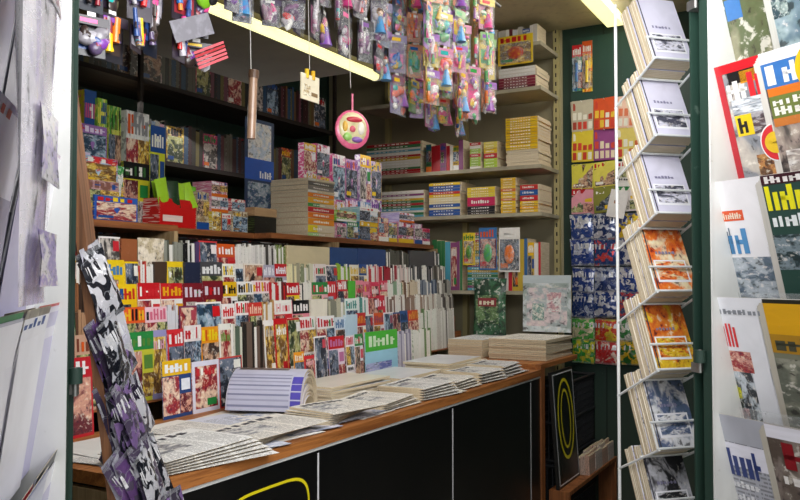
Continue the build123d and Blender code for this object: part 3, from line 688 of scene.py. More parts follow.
for finish, names in (
        (deck_finish, "floor_deck"),
        (green_post, "corner_posts entrance_lintel left_leaf_tray right_leaf_tray"),
        (green, "left_wall back_wall front_wall"),
        (end_wall, "right_wall"),
        (cream, "ceiling fascia"),
        (roof_paint, "roof"),
        (white_paint, "left_leaf_lining right_leaf_lining"),
        (clear_holder, "left_leaf_holders right_leaf_holders"),
        (steel, "hinge_pins hanging_rails"),
        (counter_wood, "counter_top counter_edge counter_flap"),
        (aluminium, "counter_channel"),
        (black_sign, "counter_signs leaning_board"),
        (pale_wood, "counter_carcass rack_stands"),
        (post_wood, "counter_post low_shelf"),
        (shelf_wood, "rack_steps toy_shelf"),
        (olive, "overhead_locker"),
        (white_plastic, "lamp_holders"),
        (tube_light, "lamps"),
        (shelf_metal(), "end_shelves"),
        (dark_wood, "back_shelves"),
        (wire_white, "wire_rack"),
        (green_inside, "peg_panel"),
        (board_wood, "sachet_board")):
    for name in names.split():
        materials = nodes[name].data.materials
        materials.clear()
        materials.append(finish.material)

# Magazines in the leaves

LEAVES = {
    "left_leaf": (1, (-1.745204, -0.519154, 0), -135),
    "right_leaf": (-1, (-0.884154, -1.380204, 0), 55),
}
TIERS, TIER_FIRST, TIER_PITCH, TIER_DEPTH = 8, 0.155, 0.24, -0.095
TIER_ANGLE = math.degrees(math.atan2(0.072, 0.246))
PILE_STARTS = (0.022, 0.14, 0.255, 0.37)
PILE_WIDTH, PILE_HEIGHT = 0.205, 0.272


def leaf_frame(body):
    """A leaf's own frame at its hinge, and the side that it opens to."""
    side, hinge, turn = LEAVES[body]
    return moved(*hinge) @ turned(turn, "Z"), side


def pile_place(body, tier, near, depth):
    """Place of a cover in a leaf: its origin is the lower edge, and it faces out of the tray."""
    leaf, side = leaf_frame(body)
    edge = near + PILE_WIDTH if side > 0 else -near
    foot = moved(edge, TIER_DEPTH, TIER_FIRST + tier * TIER_PITCH + 0.001)
    return leaf @ foot @ turned(180, "Z") @ turned(90 + TIER_ANGLE, "X") @ moved(0, 0, depth)


def seen_block(place, left, top, right, bottom, colour):
    """A block of a cover as shares of the cover, also where its edges are given in the photograph."""
    if right <= 1:
        return left, top, right, bottom, colour
    normal = place.col[2].to_3d()
    inward = place.inverted()
    low = inward @ hit(left, bottom, place.translation, normal)
    high = inward @ hit(left, top, place.translation, normal)
    far = inward @ hit(right, (top + bottom) / 2, place.translation, normal)
    shares = (min(low.x, far.x) / PILE_WIDTH, low.y / PILE_HEIGHT,
              max(low.x, far.x) / PILE_WIDTH, high.y / PILE_HEIGHT)
    return tuple(min(1.0, max(0.0, share)) for share in shares) + (colour,)


# For each tier and pile: the cover's colours and kind, the colour of the copies behind it, then flat
# blocks, then titles of strokes. Their edges are shares of the cover or, above 1, places in the photograph.
RIGHT_COVERS = {
    (7, 0): ("5c6444", "8c8a70", 0.5, "b8b4a4", [(703, -10, 727, 46, "56603a"), (728, 0, 742, 22, "3c6ea8")],
             [(708, 6, 726, 22, "f0ecdc", 4), (708, 24, 728, 36, "f0ecdc", 4), (706, 38, 720, 48, "c8cc40", 3)]),
    (7, 1): ("6c8490", "a8bcc0", 0.5, "c8c8c0", [(744, 0, 790, 30, ("3a5058", "98a8a4"))], []),
    (6, 0): ("8c8f96", "c0b8ae", 0.5, "b02430",
             [(0.0, 0.93, 1.0, 1.0, "c8202a"), (0.16, 0.84, 0.6, 0.93, "1c1a1c"), (0.0, 0.0, 0.1, 0.93, "b02430"),
              (0.3, 0.83, 0.5, 0.92, "e09a28"), (0.14, 0.44, 0.34, 0.6, "e8c820"),
              (0.14, 0.6, 0.95, 0.72, ("9aa2ac", "dfe4ea")),
              (0.34, 0.44, 0.9, 0.6, ("5c4c50", "a8a4a8")), (0.3, 0.03, 0.62, 0.28, ("6a4c34", "c08a50")),
              (0.62, 0.03, 0.95, 0.2, ("8c8c94", "d8d8dc"))],
             [(0.12, 0.72, 0.36, 0.86, "f4f2ec", 3), (0.38, 0.72, 0.92, 0.9, "e02c34", 6),
              (0.17, 0.46, 0.31, 0.58, "1c1a1c", 2)]),
    (6, 1): ("5a5450", "b4a498", 0.5, "d8d4cc",
             [(0.0, 0.92, 1.0, 1.0, "f2f3f6"), (0.0, 0.74, 0.42, 0.92, "3c74b8"), (0.42, 0.7, 0.8, 0.92, "f0c020"),
              (0.02, 0.68, 0.42, 0.74, "e07828"), (0.02, 0.52, 0.45, 0.68, "6f7c3c"),
              (0.02, 0.46, 0.45, 0.52, "c87838"),
              (0.08, 0.0, 0.75, 0.28, ("b0a49c", "ece8e4"))],
             [(0.04, 0.76, 0.2, 0.9, "f4f4f4", 1), (0.22, 0.76, 0.4, 0.9, "f4f4f4", 2),
              (0.05, 0.61, 0.42, 0.66, "f4f2e8", 5), (0.05, 0.54, 0.42, 0.6, "f4f2e8", 5)]),
    (6, 2): ("4a5058", "a0a8b0", 0.5, "d8d4cc", [(783, 44, 800, 78, "f0c020")], []),
    (5, 0): ("e9e7ea", "d8d4da", 0.2, "cfc9c0",
             [(703, 202, 711, 211, "3a5c94"), (706, 213, 744, 223, "e0582c"),
              (716, 258, 783, 300, ("5c6c7c", "b4bcc4"))],
             [(713, 229, 733, 254, "5a6a7a", 3), (732, 229, 750, 254, "4c8cc0", 3),
              (708, 215, 742, 221, "f0e0c8", 9)]),
    (5, 1): ("26463e", "1c2a2c", 0.2, "c8c4bc",
             [(0.0, 0.93, 1.0, 1.0, "3a1420"), (0.0, 0.3, 0.45, 0.56, ("24383c", "7c8c94")),
              (0.52, 0.7, 1.0, 0.93, "d8282c"), (0.5, 0.1, 0.9, 0.4, "6c6c34")],
             [(0.02, 0.74, 0.42, 0.92, "e8e020", 5), (0.04, 0.62, 0.46, 0.71, "e8ecec", 6),
              (0.04, 0.94, 0.45, 0.99, "e8e4e0", 6), (0.56, 0.74, 0.94, 0.9, "f6f4f2", 4)]),
    (5, 2): ("2c4c44", "20302c", 0.2, "c8c4bc",
             [(0.0, 0.7, 1.0, 0.95, "d8282c"), (0.0, 0.1, 0.8, 0.4, "58602c")], []),
    (4, 0): ("e8e9ef", "c8c0bc", 0.2, "c8c2b4",
             [(708, 350, 726, 370, ("3a3230", "8c7c70")), (727, 350, 752, 370, ("a02c30", "d8a090")),
              (712, 374, 742, 404, "54743c"), (722, 404, 750, 420, ("c04858", "e8a8a8")),
              (742, 372, 760, 440, ("2c3038", "c4ccd4"))],
             [(706, 322, 737, 344, "d82c30", 4), (717, 380, 741, 394, "e4e030", 4),
              (708, 308, 790, 313, "8c9098", 14)]),
    (4, 1): ("7e7f6c", "a8a890", 0.2, "c8c2b4",
             [(0.0, 0.97, 1.0, 1.0, "2c2a20"), (0.0, 0.74, 1.0, 0.97, "e0a820"), (0.0, 0.6, 0.7, 0.74, "b08428"),
              (0.0, 0.05, 0.9, 0.56, ("6c7064", "9c9c8c"))],
             [(0.05, 0.62, 0.6, 0.72, "4c4c3c", 4)]),
    (4, 2): ("9a9c90", "70746c", 0.2, "c8c2b4", [(0.0, 0.8, 0.7, 0.95, "d02c2c")], []),
    (3, 0): ("b4b6c0", "8c8c90", 0.8, "c8c2b4",
             [(703, 436, 800, 457, "e9e8f4"), (703, 440, 712, 459, "3c78c0"), (712, 440, 718, 462, "e4c828")],
             [(727, 447, 759, 472, "2c3c78", 5), (724, 476, 758, 482, "e8e8ec", 6),
              (724, 488, 758, 494, "e8e8ec", 6)]),
    (3, 1): ("5c5048", "8c8078", 0.5, "c8c2b4", [(0.0, 0.9, 1.0, 1.0, "ecebf5")],
             [(0.15, 0.68, 0.95, 0.88, "8c1c24", 4), (0.1, 0.56, 0.5, 0.62, "f0ece8", 4)]),
}
LEFT_COVERS = {
    (6, 0): ("e4e2ea", "b4b0c8", 0.8, "d8d6e0"), (6, 1): ("c9ccd4", "8c8fa8", 0.5, "e2e2ea"),
    (6, 2): ("8d9184", "c0c4b8", 0.5, "c8c8c0"), (6, 3): ("c4c0d8", "efeef4", 0.5, "dcdae8"),
    (5, 0): ("eceaf0", "c8b8c8", 0.5, "e8e6ec"), (5, 1): ("e4dfea", "c8404c", 0.5, "efeef2"),
    (5, 2): ("b9b2d0", "ececf4", 0.5, "e8e6f0"), (5, 3): ("8f86b8", "d8d4e8", 0.5, "e4e2f0"),
    (4, 0): ("d8d6e4", "8c8478", 0.2, "e4e2ee"), (4, 1): ("6c6660", "a09888", 0.5, "e2e0ec"),
    (4, 2): ("54504a", "787060", 0.5, "c8c6d2"), (4, 3): ("9c9ab4", "d8d8e4", 0.5, "c4c4d0"),
    (3, 0): ("d8d8e0", "a8aac0", 0.5, "ececf2"), (3, 1): ("a9b0d0", "d8dcf0", 0.2, "dcdfee"),
    (3, 2): ("8c96c0", "c8cce4", 0.2, "d4d8ea"), (3, 3): ("7c86b4", "b8bede", 0.2, "ccd0e4"),
}
LILACS = ("a8a6bc", "c4c0dc", "8c8a9a", "efeef4", "f6f5fa")


def leaf_magazines(body, seed, covers):
    """Fanned piles that overlap, four to a tier; every second pile stands in front."""
    goods = Goods(seed)
    chance = goods.chance
    right = body == "right_leaf"
    for tier in range(TIERS):
        for pile, near in enumerate(PILE_STARTS):
            plan = covers.get((tier, pile))
            tint = plan[0] if plan else chance.choice(COVERS)
            look = goods.look(tint, plan[1] if plan else BRIGHTS, plan[2] if plan else chance.choice((PAPER, PHOTO)))
            behind = plan[3] if plan else chance.choice(PALES)
            front = 0.0 if pile % 2 else -0.0042
            for copy in range(6, 0, -1):
                rise = PILE_HEIGHT - 0.003 * copy - chance.uniform(0, 0.004)
                if right:
                    place = pile_place(body, tier, near, front - 0.0007 * copy) @ moved(-0.0036 * copy, 0, 0)
                else:
                    # The feet of the copies stand apart and their tops meet
                    foot = 0.006 * copy
                    lean = turned(-math.degrees(math.atan2(foot, rise)) + chance.uniform(-0.6, 0.6), "X")
                    place = pile_place(body, tier, near, front + foot) @ lean @ moved(0.002 * copy, 0, 0)
                shade = behind if copy % 3 or right else chance.choice(LILACS)
                goods.card(place, PILE_WIDTH, rise, goods.look(shade, PALES, PAPER), (), COVER)
            place = pile_place(body, tier, near, front)
            if plan and len(plan) > 4:
                layers = [[seen_block(place, *block) for block in plan[4]], []]
                for left, top, far, bottom, colour, count in plan[5]:
                    box = seen_block(place, left, top, far, bottom, colour)
                    if box[2] - box[0] > 0.02:
                        layers[1] += bars(chance, *box, count)
            else:
                layers = cover_art(chance, tint, chance.choice((0, 1, 2, 3)))
            goods.booklet(place, PILE_WIDTH, PILE_HEIGHT, 0.0006, look, layers)
            if (tier, pile) == (6, 0) and right:
                badge = place @ moved(0.116, 0.096, 0.002)
                for lift, across, up, band, colour in (
                        (0, 0.034, 0.036, 0.034, "d8343a"), (0.0006, 0.026, 0.022, 0.026, "e8c030"),
                        (-0.0004, 0.037, 0.039, 0.006, "f0eeec")):
                    goods.ring(badge @ moved(0, 0, lift), across, up, band, goods.flat(colour))
            if (tier, pile) == (6, 1) and right:
                goods.ring(place @ moved(0.118, 0.222, 0.002), 0.044, 0.046, 0.044, goods.flat("f0c020"))
            if (tier, pile) == (2, 0) and right:
                goods.ring(place @ moved(0.08, 0.2, 0.002), 0.03, 0.03, 0.01, goods.flat("c83038"))
    goods.make(body + "_covers", body, [body + "_magazines"])


leaf_magazines("right_leaf", 12, RIGHT_COVERS)
leaf_magazines("left_leaf", 11, LEFT_COVERS)


def hanging_pack():
    """A tall pack in pale wrap on the left leaf, near its free edge."""
    leaf, _ = leaf_frame("left_leaf")
    goods = Goods(21)
    place = leaf @ moved(0.587, 0.012, 1.39) @ turned(180, "Z") @ turned(90, "X")
    goods.pillow(place, 0.165, 0.66, 0.03, goods.look("f3eef6", "d4caec", PHOTO), COVER, 0.004, 10)
    tall = 0.66
    for low, high, colour in ((0.03, 0.12, "b4aadc"), (0.2, 0.32, "d4caee"),
                              (0.5, 0.56, "f0ccd8"), (0.75, 0.9, "f6f4fa")):
        strip = place @ moved(0.02, low * tall, 0.017)
        goods.card(strip, 0.12, (high - low) * tall, goods.look(colour, "f2f0f6", PHOTO), (), COVER, 0.002)
    goods.pillow(place @ moved(0, 0, 0.001), 0.168, 0.665, 0.04, goods.look("f4f5f9"), FILM, 0.005, 12)
    goods.make("wrapped_pack", "left_leaf", ["hanging_pack"])


hanging_pack()

# The tiered rack: for each row, where each group ends in the photograph, its style and its colours.
# Styles: c cover, s thin spines, b plain box, g crumpled bag, h blue booklet with a green head

RACK_LEFT, RACK_RIGHT, RACK_FRONT = -1.64, 1.37, 0.19
RACK_STEP, RACK_PITCH, RACK_LEDGE = 0.034, 0.078, 1.046
ROW_TOPS = ((331, 307), (306, 293), (281, 279), (259, 265), (236, 251))
ROWS = [[entry.split() for entry in row.split(",")] for row in (
    "127 c c8a088 7a4030, 153 c c8c83c 5a8a3c, 170 c 9c98c8 d8a0b8, 186 c d83038 f4ecec, 203 c f0e8e8 c82430, "
    "221 c ee9c20 f0d020, 233 c f0f0e8 7a9a4c, 245 s d8d8c8 5c6c5c, 266 s 2c2826 6c5a50, 276 c f2eeea c8c0b8, "
    "302 c cc2028 f4f2f0, 319 c f4f2f0 d02830, 336 c f2f0f0 c82838, 346 c dce4ec 5c84b0, 358 b c4dcec eef2f4, "
    "375 c f2ece4 e08a30, 394 c efe6ea a04860, 410 c 2c5c98 1c2c40, 420 c d8482c e89c40, 438 s eef0e8 6c8c5c, "
    "455 s d8d4cc 5c5450",
    "125 s b08868 5c4030, 147 c e8602c f0b828, 167 c f0c8d4 d86c88, 181 s 8c9cb0 d8d8e0, 198 c 7c3c5c b04858, "
    "224 c f6f2f0 d81c24, 250 c f6f2f0 d81c24, 263 c d83c34 f0c8b0, 276 s c8a060 8c3c30, 294 c d42830 f0c8cc, "
    "311 c e88c9c f6f0f0, 328 b efe8d8 d8cfba, 346 s c8c4ac 8c8c7c, 358 c e8f0ee 4c9c94, 370 s 4c948c e8ecec, "
    "387 c d02440 f0e4e8, 412 s e8e4e0 8c7468, 438 s d8d4cc a08878, 455 s c8c4bc 5c5450",
    "113 s 8c5c3c 3c2c24, 120 s e8782c 5c3020, 139 c f0c81c c82c24, 162 c f6f2ee d02c34, 184 c f4f0ec e8a81c, "
    "223 c 7c1c28 d8ccd8, 254 c f2f0f0 1c1a1c, 271 c f2e0e4 d84c60, 288 s 6c2c2c c82c30, 302 c f0d828 f2f0ec, "
    "313 s e8e4dc 3c3c3c, 328 c f0b4c0 d83c50, 349 c d42832 f6f2f2, 356 b 54b83c 3c9430, 372 c e88ca0 c82c50, "
    "389 c dc3c5c f4dce0, 404 s e8ece4 8ca88c, 420 s d8c8b0 7c5c48, 438 s 8c94a0 3c4c68, 455 s a8a49c 4c4844",
    "109 s 6c5444 2c2420, 126 c f0cc1c 4c84b8, 139 c f0cc1c f4f0e8, 148 s f0e8e4 c84038, 155 s 2c2624 8c8480, "
    "168 b 4a382c 2a201c, 185 c f0cc20 3c3426, 201 b 262c44 3c4460, 224 c 4c4c50 e8e8e8, 236 c f4f2e8 e8c820, "
    "245 c f0ece4 26262a, 264 c f2e8dc c83038, 288 c b4b0c4 ecebf2, 302 s efe6b8 a8a48c, 316 s 8c9474 e0dcc4, "
    "339 c f0e4e0 c83c38, 351 s 9cc43c 6c9430, 368 c f0e8d8 e8c020, 384 s c83440 e8b0b4, 398 s a82838 3c2426, "
    "410 s e0ccc8 b8b0b0, 434 s 6c6c70 2c2c30, 455 s 4c4844 8c8880",
    "100 s 8c7464 3c2c24, 121 c f2ecec cc2c38, 138 b 9c5c38 5c3420, 165 g e9dcc8 c8b898, 184 s 94968c 54564c, "
    "196 s 1e1e20 e0e0dc, 200 b 54406c 3c3050, 218 c d83c40 f4ecec, 236 c d03c3c f2ecec, 256 s e8e4e0 2c2a2a, "
    "276 s d8d4d0 54504c, 287 s 7c8c4c e4e4d8, 330 b d8c9a4 b8a67c, 358 b 2c4c80 4c6ca0, 386 b 28467c 44649c, "
    "410 s 54544c 2c2c2a, 434 b 4c4c50 303034, 455 s 3c3834 6c6864",
)]
STANDING = ((-1.44, -1.32, 0.235, "c", "24408c", "e8e8e8"), (-1.31, -1.19, 0.22, "c", "c02430", "f0e8e8"),
            (-0.94, -0.83, 0.178, "c", "24447c", "e8ecf4"), (-0.82, -0.71, 0.168, "c", "dcdcec", "c83038"),
            (-0.70, -0.59, 0.163, "c", "d03c38", "f0f0e8"), (-0.30, -0.245, 0.148, "c", "f0a028", "f4e8d0"),
            (-0.24, -0.18, 0.13, "c", "d82c38", "f4b8c0"), (-0.17, -0.09, 0.198, "c", "f4f2f4", "c84858"),
            (-0.08, 0.02, 0.193, "c", "ecd8e8", "c070a0"), (0.04, 0.1, 0.193, "c", "f4f0f4", "d85060"),
            (0.105, 0.17, 0.188, "c", "e8e8f0", "d84c5c"), (0.19, 0.46, 0.188, "h", "9cd0e8", "48b838"),
            (0.47, 0.60, 0.183, "s", "c8c4d4", "8c88a0"), (0.61, 0.79, 0.178, "s", "e8e8e0", "6c8c54"))


def stand_group(goods, left, right, y, z, height, style, tint, accent):
    """One group of a row: a cover, spines, a box or a bag, with its colours."""
    chance = goods.chance
    width = right - left
    if style == "s":
        x = left
        while x < right - 0.006:
            thick = min(chance.uniform(0.008, 0.017), right - x)
            look = goods.look(chance.choice((tint, tint, accent, "efece6")), accent, PAPER)
            goods.booklet(facing(x, y + 0.001, z, chance.uniform(-3, 3), -2), thick - 0.001,
                          height * chance.uniform(0.88, 1.0), 0.011, look, (), 0.0, grid=2)
            x += thick
    elif style == "b":
        art = [[(0.1, 0.35, 0.9, 0.45, accent)]] if width > 0.05 else ()
        goods.carton(facing(left, y, z), width - 0.004, height * 0.97, 0.014, goods.look(tint, accent, PLAIN),
                     art, 0.001)
    elif style == "g":
        look = goods.look(tint, accent, PHOTO)
        goods.pillow(facing(left, y + 0.004, z), width, height, 0.02, look, NEWS, 0.006, 8)
    elif style == "h":
        art = [[(0.0, 0.56, 1.0, 1.0, accent), (0.0, 0.0, 0.8, 0.3, ("6c78c0", "b8c0e8"))],
               bars(chance, 0.1, 0.66, 0.9, 0.9, "d8f0d0", 6)]
        goods.booklet(facing(left, y, z, 0, -2), width, height, 0.004, goods.look(tint, "e8f0f4", PAPER), art)
    else:
        count = max(1, round(width / 0.085))
        for index in range(count):
            x = left + index * width / count
            wide = width / count * chance.uniform(1.0, 1.12)
            art = cover_art(chance, tint)
            art[1] = [block[:4] + (accent if block[3] > 0.6 and chance.random() < 0.85 else block[4],)
                      for block in art[1]]
            lean = chance.uniform(-5, -3)
            goods.booklet(facing(x, y - chance.uniform(0.003, 0.007), z, chance.uniform(0.5, 3.5), lean), wide,
                          height * chance.uniform(0.94, 1.0), 0.003, goods.look(tint, accent, PAPER), art, 0.002)


def rack_magazines():
    """Five rows of covers and spines; the unseen ends carry mixed covers."""
    goods = Goods(31)
    chance = goods.chance
    for row, groups in enumerate(ROWS):
        z = RACK_LEDGE + row * RACK_PITCH + 0.0005
        y = RACK_FRONT + row * RACK_STEP + 0.0157
        tops = ROW_TOPS[row]

        def height_at(column):
            line = tops[0] + (tops[1] - tops[0]) * (column - 100) / 340
            return on_front(column, line, y).z - z

        seen_left = on_front(78, 250, y).x
        x = RACK_LEFT + 0.012
        while x < seen_left - 0.02:
            width = min(chance.uniform(0.08, 0.14), seen_left - x)
            stand_group(goods, x, x + width, y, z, height_at(80) * chance.uniform(0.9, 1.0), "c",
                        chance.choice(COVERS), chance.choice(TITLES))
            x += width
        for column, style, tint, accent in groups:
            right = min(on_front(int(column), 270, y).x, RACK_RIGHT - 0.012)
            if right - x > 0.01:
                stand_group(goods, x, right, y, z, height_at(int(column)), style, tint, accent)
                x = right
    goods.make("rack_booklets", BASE, ["rack_magazines"])


rack_magazines()

# The toy shelf, from the top of its board

SHELF = 1.6005


def toy_goods():
    """Boxes, packs, the red tray and cards on the toy shelf."""
    goods = Goods(41)
    chance = goods.chance

    def box(left, right, y, low, high, tint, accent, depth=0.06, turn=0.0, kind=PHOTO, style=None):
        art = cover_art(chance, tint, chance.choice((0, 1, 3)) if style is None else style)
        art[1] = [block[:4] + (accent if chance.random() < 0.6 else block[4],) for block in art[1]]
        look = goods.look(tint, accent, kind)
        goods.carton(facing(left, y, SHELF + low, turn), right - left - 0.003, high - low, depth, look, art, 0.002)

    def heap(left, right, y, low, high, tints, count, size=0.06):
        for _ in range(count):
            place = facing(chance.uniform(left, right - size), y + chance.uniform(0, 0.05),
                           SHELF + chance.uniform(low, high), chance.uniform(-20, 20),
                           chance.uniform(-20, 5)) @ turned(chance.uniform(-25, 25), "Z")
            goods.pillow(place, size, size * 1.25, 0.014, goods.look(tints, BRIGHTS, PHOTO), CARD, 0.003, 4)

    # Far left, mostly out of the photograph
    for block in (
            (-1.62, -1.39, 0.42, 0.0, 0.12, "4a6fb4", "d8dce8", 0.19),
            (-1.61, -1.41, 0.43, 0.12, 0.22, "7a3f96", "e8b0c8", 0.17),
            (-1.60, -1.40, 0.44, 0.22, 0.32, "58a040", "e8e030", 0.16),
            (-1.37, -1.30, 0.41, 0.0, 0.24, "a8c8e0", "c83038", 0.1),
            (-1.30, -1.235, 0.415, 0.0, 0.21, "f0f0ee", "1a6fc4", 0.1),
            (-1.22, -1.10, 0.41, 0.0, 0.17, "64b832", "f4f4f0", 0.12)):
        box(*block)
    # Packs in view from the left, each at its place in the photograph
    for left, top, right, bottom, y, tint, accent, kind in (
            (77, 160, 119, 181, 0.43, "a8d0ec", "e03038", 0.5), (80, 183, 120, 198, 0.415, "c89ca0", "8c5c50", 0.5),
            (94, 199, 139, 222, 0.404, "2c5cb4", "f0d020", 0.1), (78, 203, 93, 222, 0.404, "d86c80", "f0e8ec", 0.5),
            (77, 128, 108, 158, 0.50, "9c6cb4", "e8d8f0", 0.1), (97, 100, 108, 150, 0.585, "8cc83c", "f0e860", 0.5),
            (108, 108, 122, 172, 0.59, "d8dc60", "4c9c3c", 0.5), (84, 92, 97, 128, 0.6, "e0c838", "d85088", 0.5),
            (126, 115, 150, 168, 0.585, "e6e6e4", "8c8c90", 0.5), (150, 128, 166, 170, 0.6, "d8dc30", "f0f0e0", 0.1),
            (123, 165, 150, 180, 0.58, "d8d030", "3c6c38", 0.1)):
        low = on_front(left, bottom, y)
        high = on_front(right, top, y)
        foot = SHELF if y < 0.42 or y > 0.55 else max(SHELF, low.z)
        box(low.x, high.x, y, foot - SHELF, high.z - SHELF, tint, accent, 0.045 if y > 0.55 else 0.09, 0.0, kind)
    heap(-0.94, -0.74, 0.45, 0.09, 0.14, ("c890a8", "6ca8d8", "3c8c48", "e8e8e0"), 8, 0.055)
    # The red tray with lime packs standing in it
    goods.carton(facing(-0.588, 0.494, SHELF), 0.186, 0.105, 0.13, goods.look("d01818", "f0e8e0", PLAIN),
                 [[(0.08, 0.2, 0.6, 0.42, "f2d8d0")]], 0.002)
    for index in range(11):
        place = facing(-0.585 + index * 0.015, 0.50 + (index % 3) * 0.025, SHELF + 0.07, chance.uniform(-15, 15),
                       chance.uniform(-12, 2)) @ turned(chance.uniform(-20, 20), "Z")
        lime = goods.look(("6fc02c", "a8d830", "2c7c38", "1c3c20"), "e8f0d0", PAPER)
        goods.pillow(place, 0.055, 0.1, 0.014, lime, CARD, 0.002, 4)
    # A dark box under a brown lid, set back between the trays and the books
    dark = goods.look("22201c", "4c5c30", PLAIN)
    goods.carton(facing(-0.063, 0.494, SHELF), 0.144, 0.072, 0.11, dark, (), 0.001)
    lid = goods.look("c09c74", "8c6c48", PLAIN)
    goods.carton(facing(-0.065, 0.493, SHELF + 0.074), 0.147, 0.036, 0.113, lid, (), 0.001)
    # Middle shelf: beige block, pink boxes, small packs
    for block in (
            (-0.395, -0.325, 0.5, 0.0, 0.145, "d8c8a8", "a88c64", 0.12),
            (-0.31, -0.255, 0.5, 0.0, 0.075, "e8cc28", "f4f0e0", 0.12),
            (-0.255, -0.2, 0.5, 0.0, 0.07, "e06030", "c82430", 0.12),
            (-0.305, -0.205, 0.51, 0.075, 0.135, "e8a8bc", "f6f0f2", 0.1),
            (-0.305, -0.21, 0.51, 0.135, 0.195, "d87c9c", "f6f0f2", 0.1),
            (-0.195, -0.095, 0.5, 0.0, 0.085, "dcceb0", "8c6c48", 0.12),
            (-0.19, -0.1, 0.51, 0.085, 0.135, "c83440", "f0e8e0", 0.1)):
        box(*block)
    # The tall blue card behind the book piles
    goods.card(facing(0.035, 0.632, SHELF), 0.2, 0.52, goods.look("243c60", "f4f6fa", PLAIN),
               [[(0.1, 0.66, 0.9, 0.97, ("c8d4e4", "e8e4e0")), (0.0, 0.48, 1.0, 0.66, "1d58b8"),
                 (0.1, 0.2, 0.9, 0.46, ("3c5c80", "a8b8c8")), (0.0, 0.04, 1.0, 0.16, "1c4c9c")],
                bars(chance, 0.5, 0.5, 0.92, 0.56, "f2f4f8", 5)], CARD)
    # Pink and lilac boxes behind, and the front row on the right
    for left, right, low, high, tint, accent in (
            (0.42, 0.53, 0.0, 0.16, "e8c0cc", "d04080"), (0.53, 0.64, 0.0, 0.17, "f0f0f0", "c050a0"),
            (0.42, 0.53, 0.16, 0.32, "d84c88", "f6f0f0"), (0.53, 0.64, 0.17, 0.31, "e890b4", "f0d030"),
            (0.42, 0.52, 0.32, 0.46, "e05c94", "f8f0f4"), (0.52, 0.64, 0.31, 0.47, "c83c7c", "f4e8f0"),
            (0.66, 0.78, 0.0, 0.2, "e89cc0", "f0f0f0"), (0.78, 0.90, 0.0, 0.22, "b07cc8", "f0e0f0"),
            (0.66, 0.78, 0.2, 0.44, "dc5c9c", "f4f0f0"), (0.78, 0.90, 0.22, 0.43, "e0a0c8", "8c50a8"),
            (0.92, 1.03, 0.0, 0.22, "5c98d0", "f0f0f0"), (1.03, 1.145, 0.0, 0.24, "f0e8f0", "7c48a0"),
            (0.92, 1.03, 0.22, 0.47, "f0ecf4", "8c54b0"), (1.03, 1.145, 0.24, 0.45, "d8c0e8", "e8c830")):
        box(left, right, 0.598, low, high, tint, accent, 0.035)
    for left, right, low, high, tint, accent, turn in (
            (0.41, 0.50, 0.0, 0.07, "f0c8d8", "d04880", 0), (0.50, 0.60, 0.0, 0.08, "5ca0d8", "f0f0f0", 0),
            (0.41, 0.60, 0.08, 0.13, "8ccc38", "f0f0d0", 3), (0.61, 0.78, 0.0, 0.09, "4c8cc8", "e8c830", 0),
            (0.61, 0.77, 0.09, 0.16, "a8d4ec", "f4f4f8", -3), (0.79, 0.89, 0.0, 0.12, "e05c48", "f4e8d0", 0),
            (0.89, 0.98, 0.0, 0.10, "3c78c0", "f0f0f0", 0), (0.99, 1.16, 0.0, 0.11, "d86c9c", "f4e8f0", 0),
            (1.0, 1.15, 0.11, 0.16, "b8a8d8", "f0ecf8", -4), (1.17, 1.26, 0.0, 0.11, "c88cb8", "f4f0f4", 0),
            (1.26, 1.352, 0.0, 0.09, "e8a0bc", "d83c74", 0)):
        box(left, right, 0.405, low, high, tint, accent, 0.12, turn)
    goods.make("toy_boxes", BASE, ["shelf_goods"])


def book_piles():
    """A pile of thick books: coloured spines in front, page edges at the side."""
    goods = Goods(42)
    chance = goods.chance
    z = SHELF
    for thick, tint in ((0.016, "a8d088"), (0.034, "ecd428"), (0.03, "ee9424"), (0.026, "ec7c20"),
                        (0.024, "cc2830"), (0.017, "4c9c48"), (0.026, "f0b028"), (0.02, "ee8420"),
                        (0.012, "eeece8"), (0.02, "8c8680"), (0.018, "6c6864"), (0.012, "e0dcd4")):
        shift = chance.uniform(0, 0.006)
        look = goods.look(tint, "f0ece0", PAPER)
        place = lying(0.184 + shift, 0.402 + shift, z + thick, chance.uniform(-1.5, 1.5))
        goods.booklet(place, 0.204, 0.205, thick - 0.0012, look, spine=EDGE)
        face = facing(0.184 + shift, 0.402 + shift, z)
        goods.card(face @ moved(0, 0.001, 0.001), 0.202, thick - 0.003, look,
                   [bars(chance, 0.2, 0.3, 0.8, 0.7, "f4f0e8", 9)], CARD)
        z += thick
    goods.make("pocket_books", BASE, ["book_stacks"])


toy_goods()
book_piles()

# Papers on the counter and its flap, from the height of each top

COUNTER, FLAP = 1.0005, 1.0225


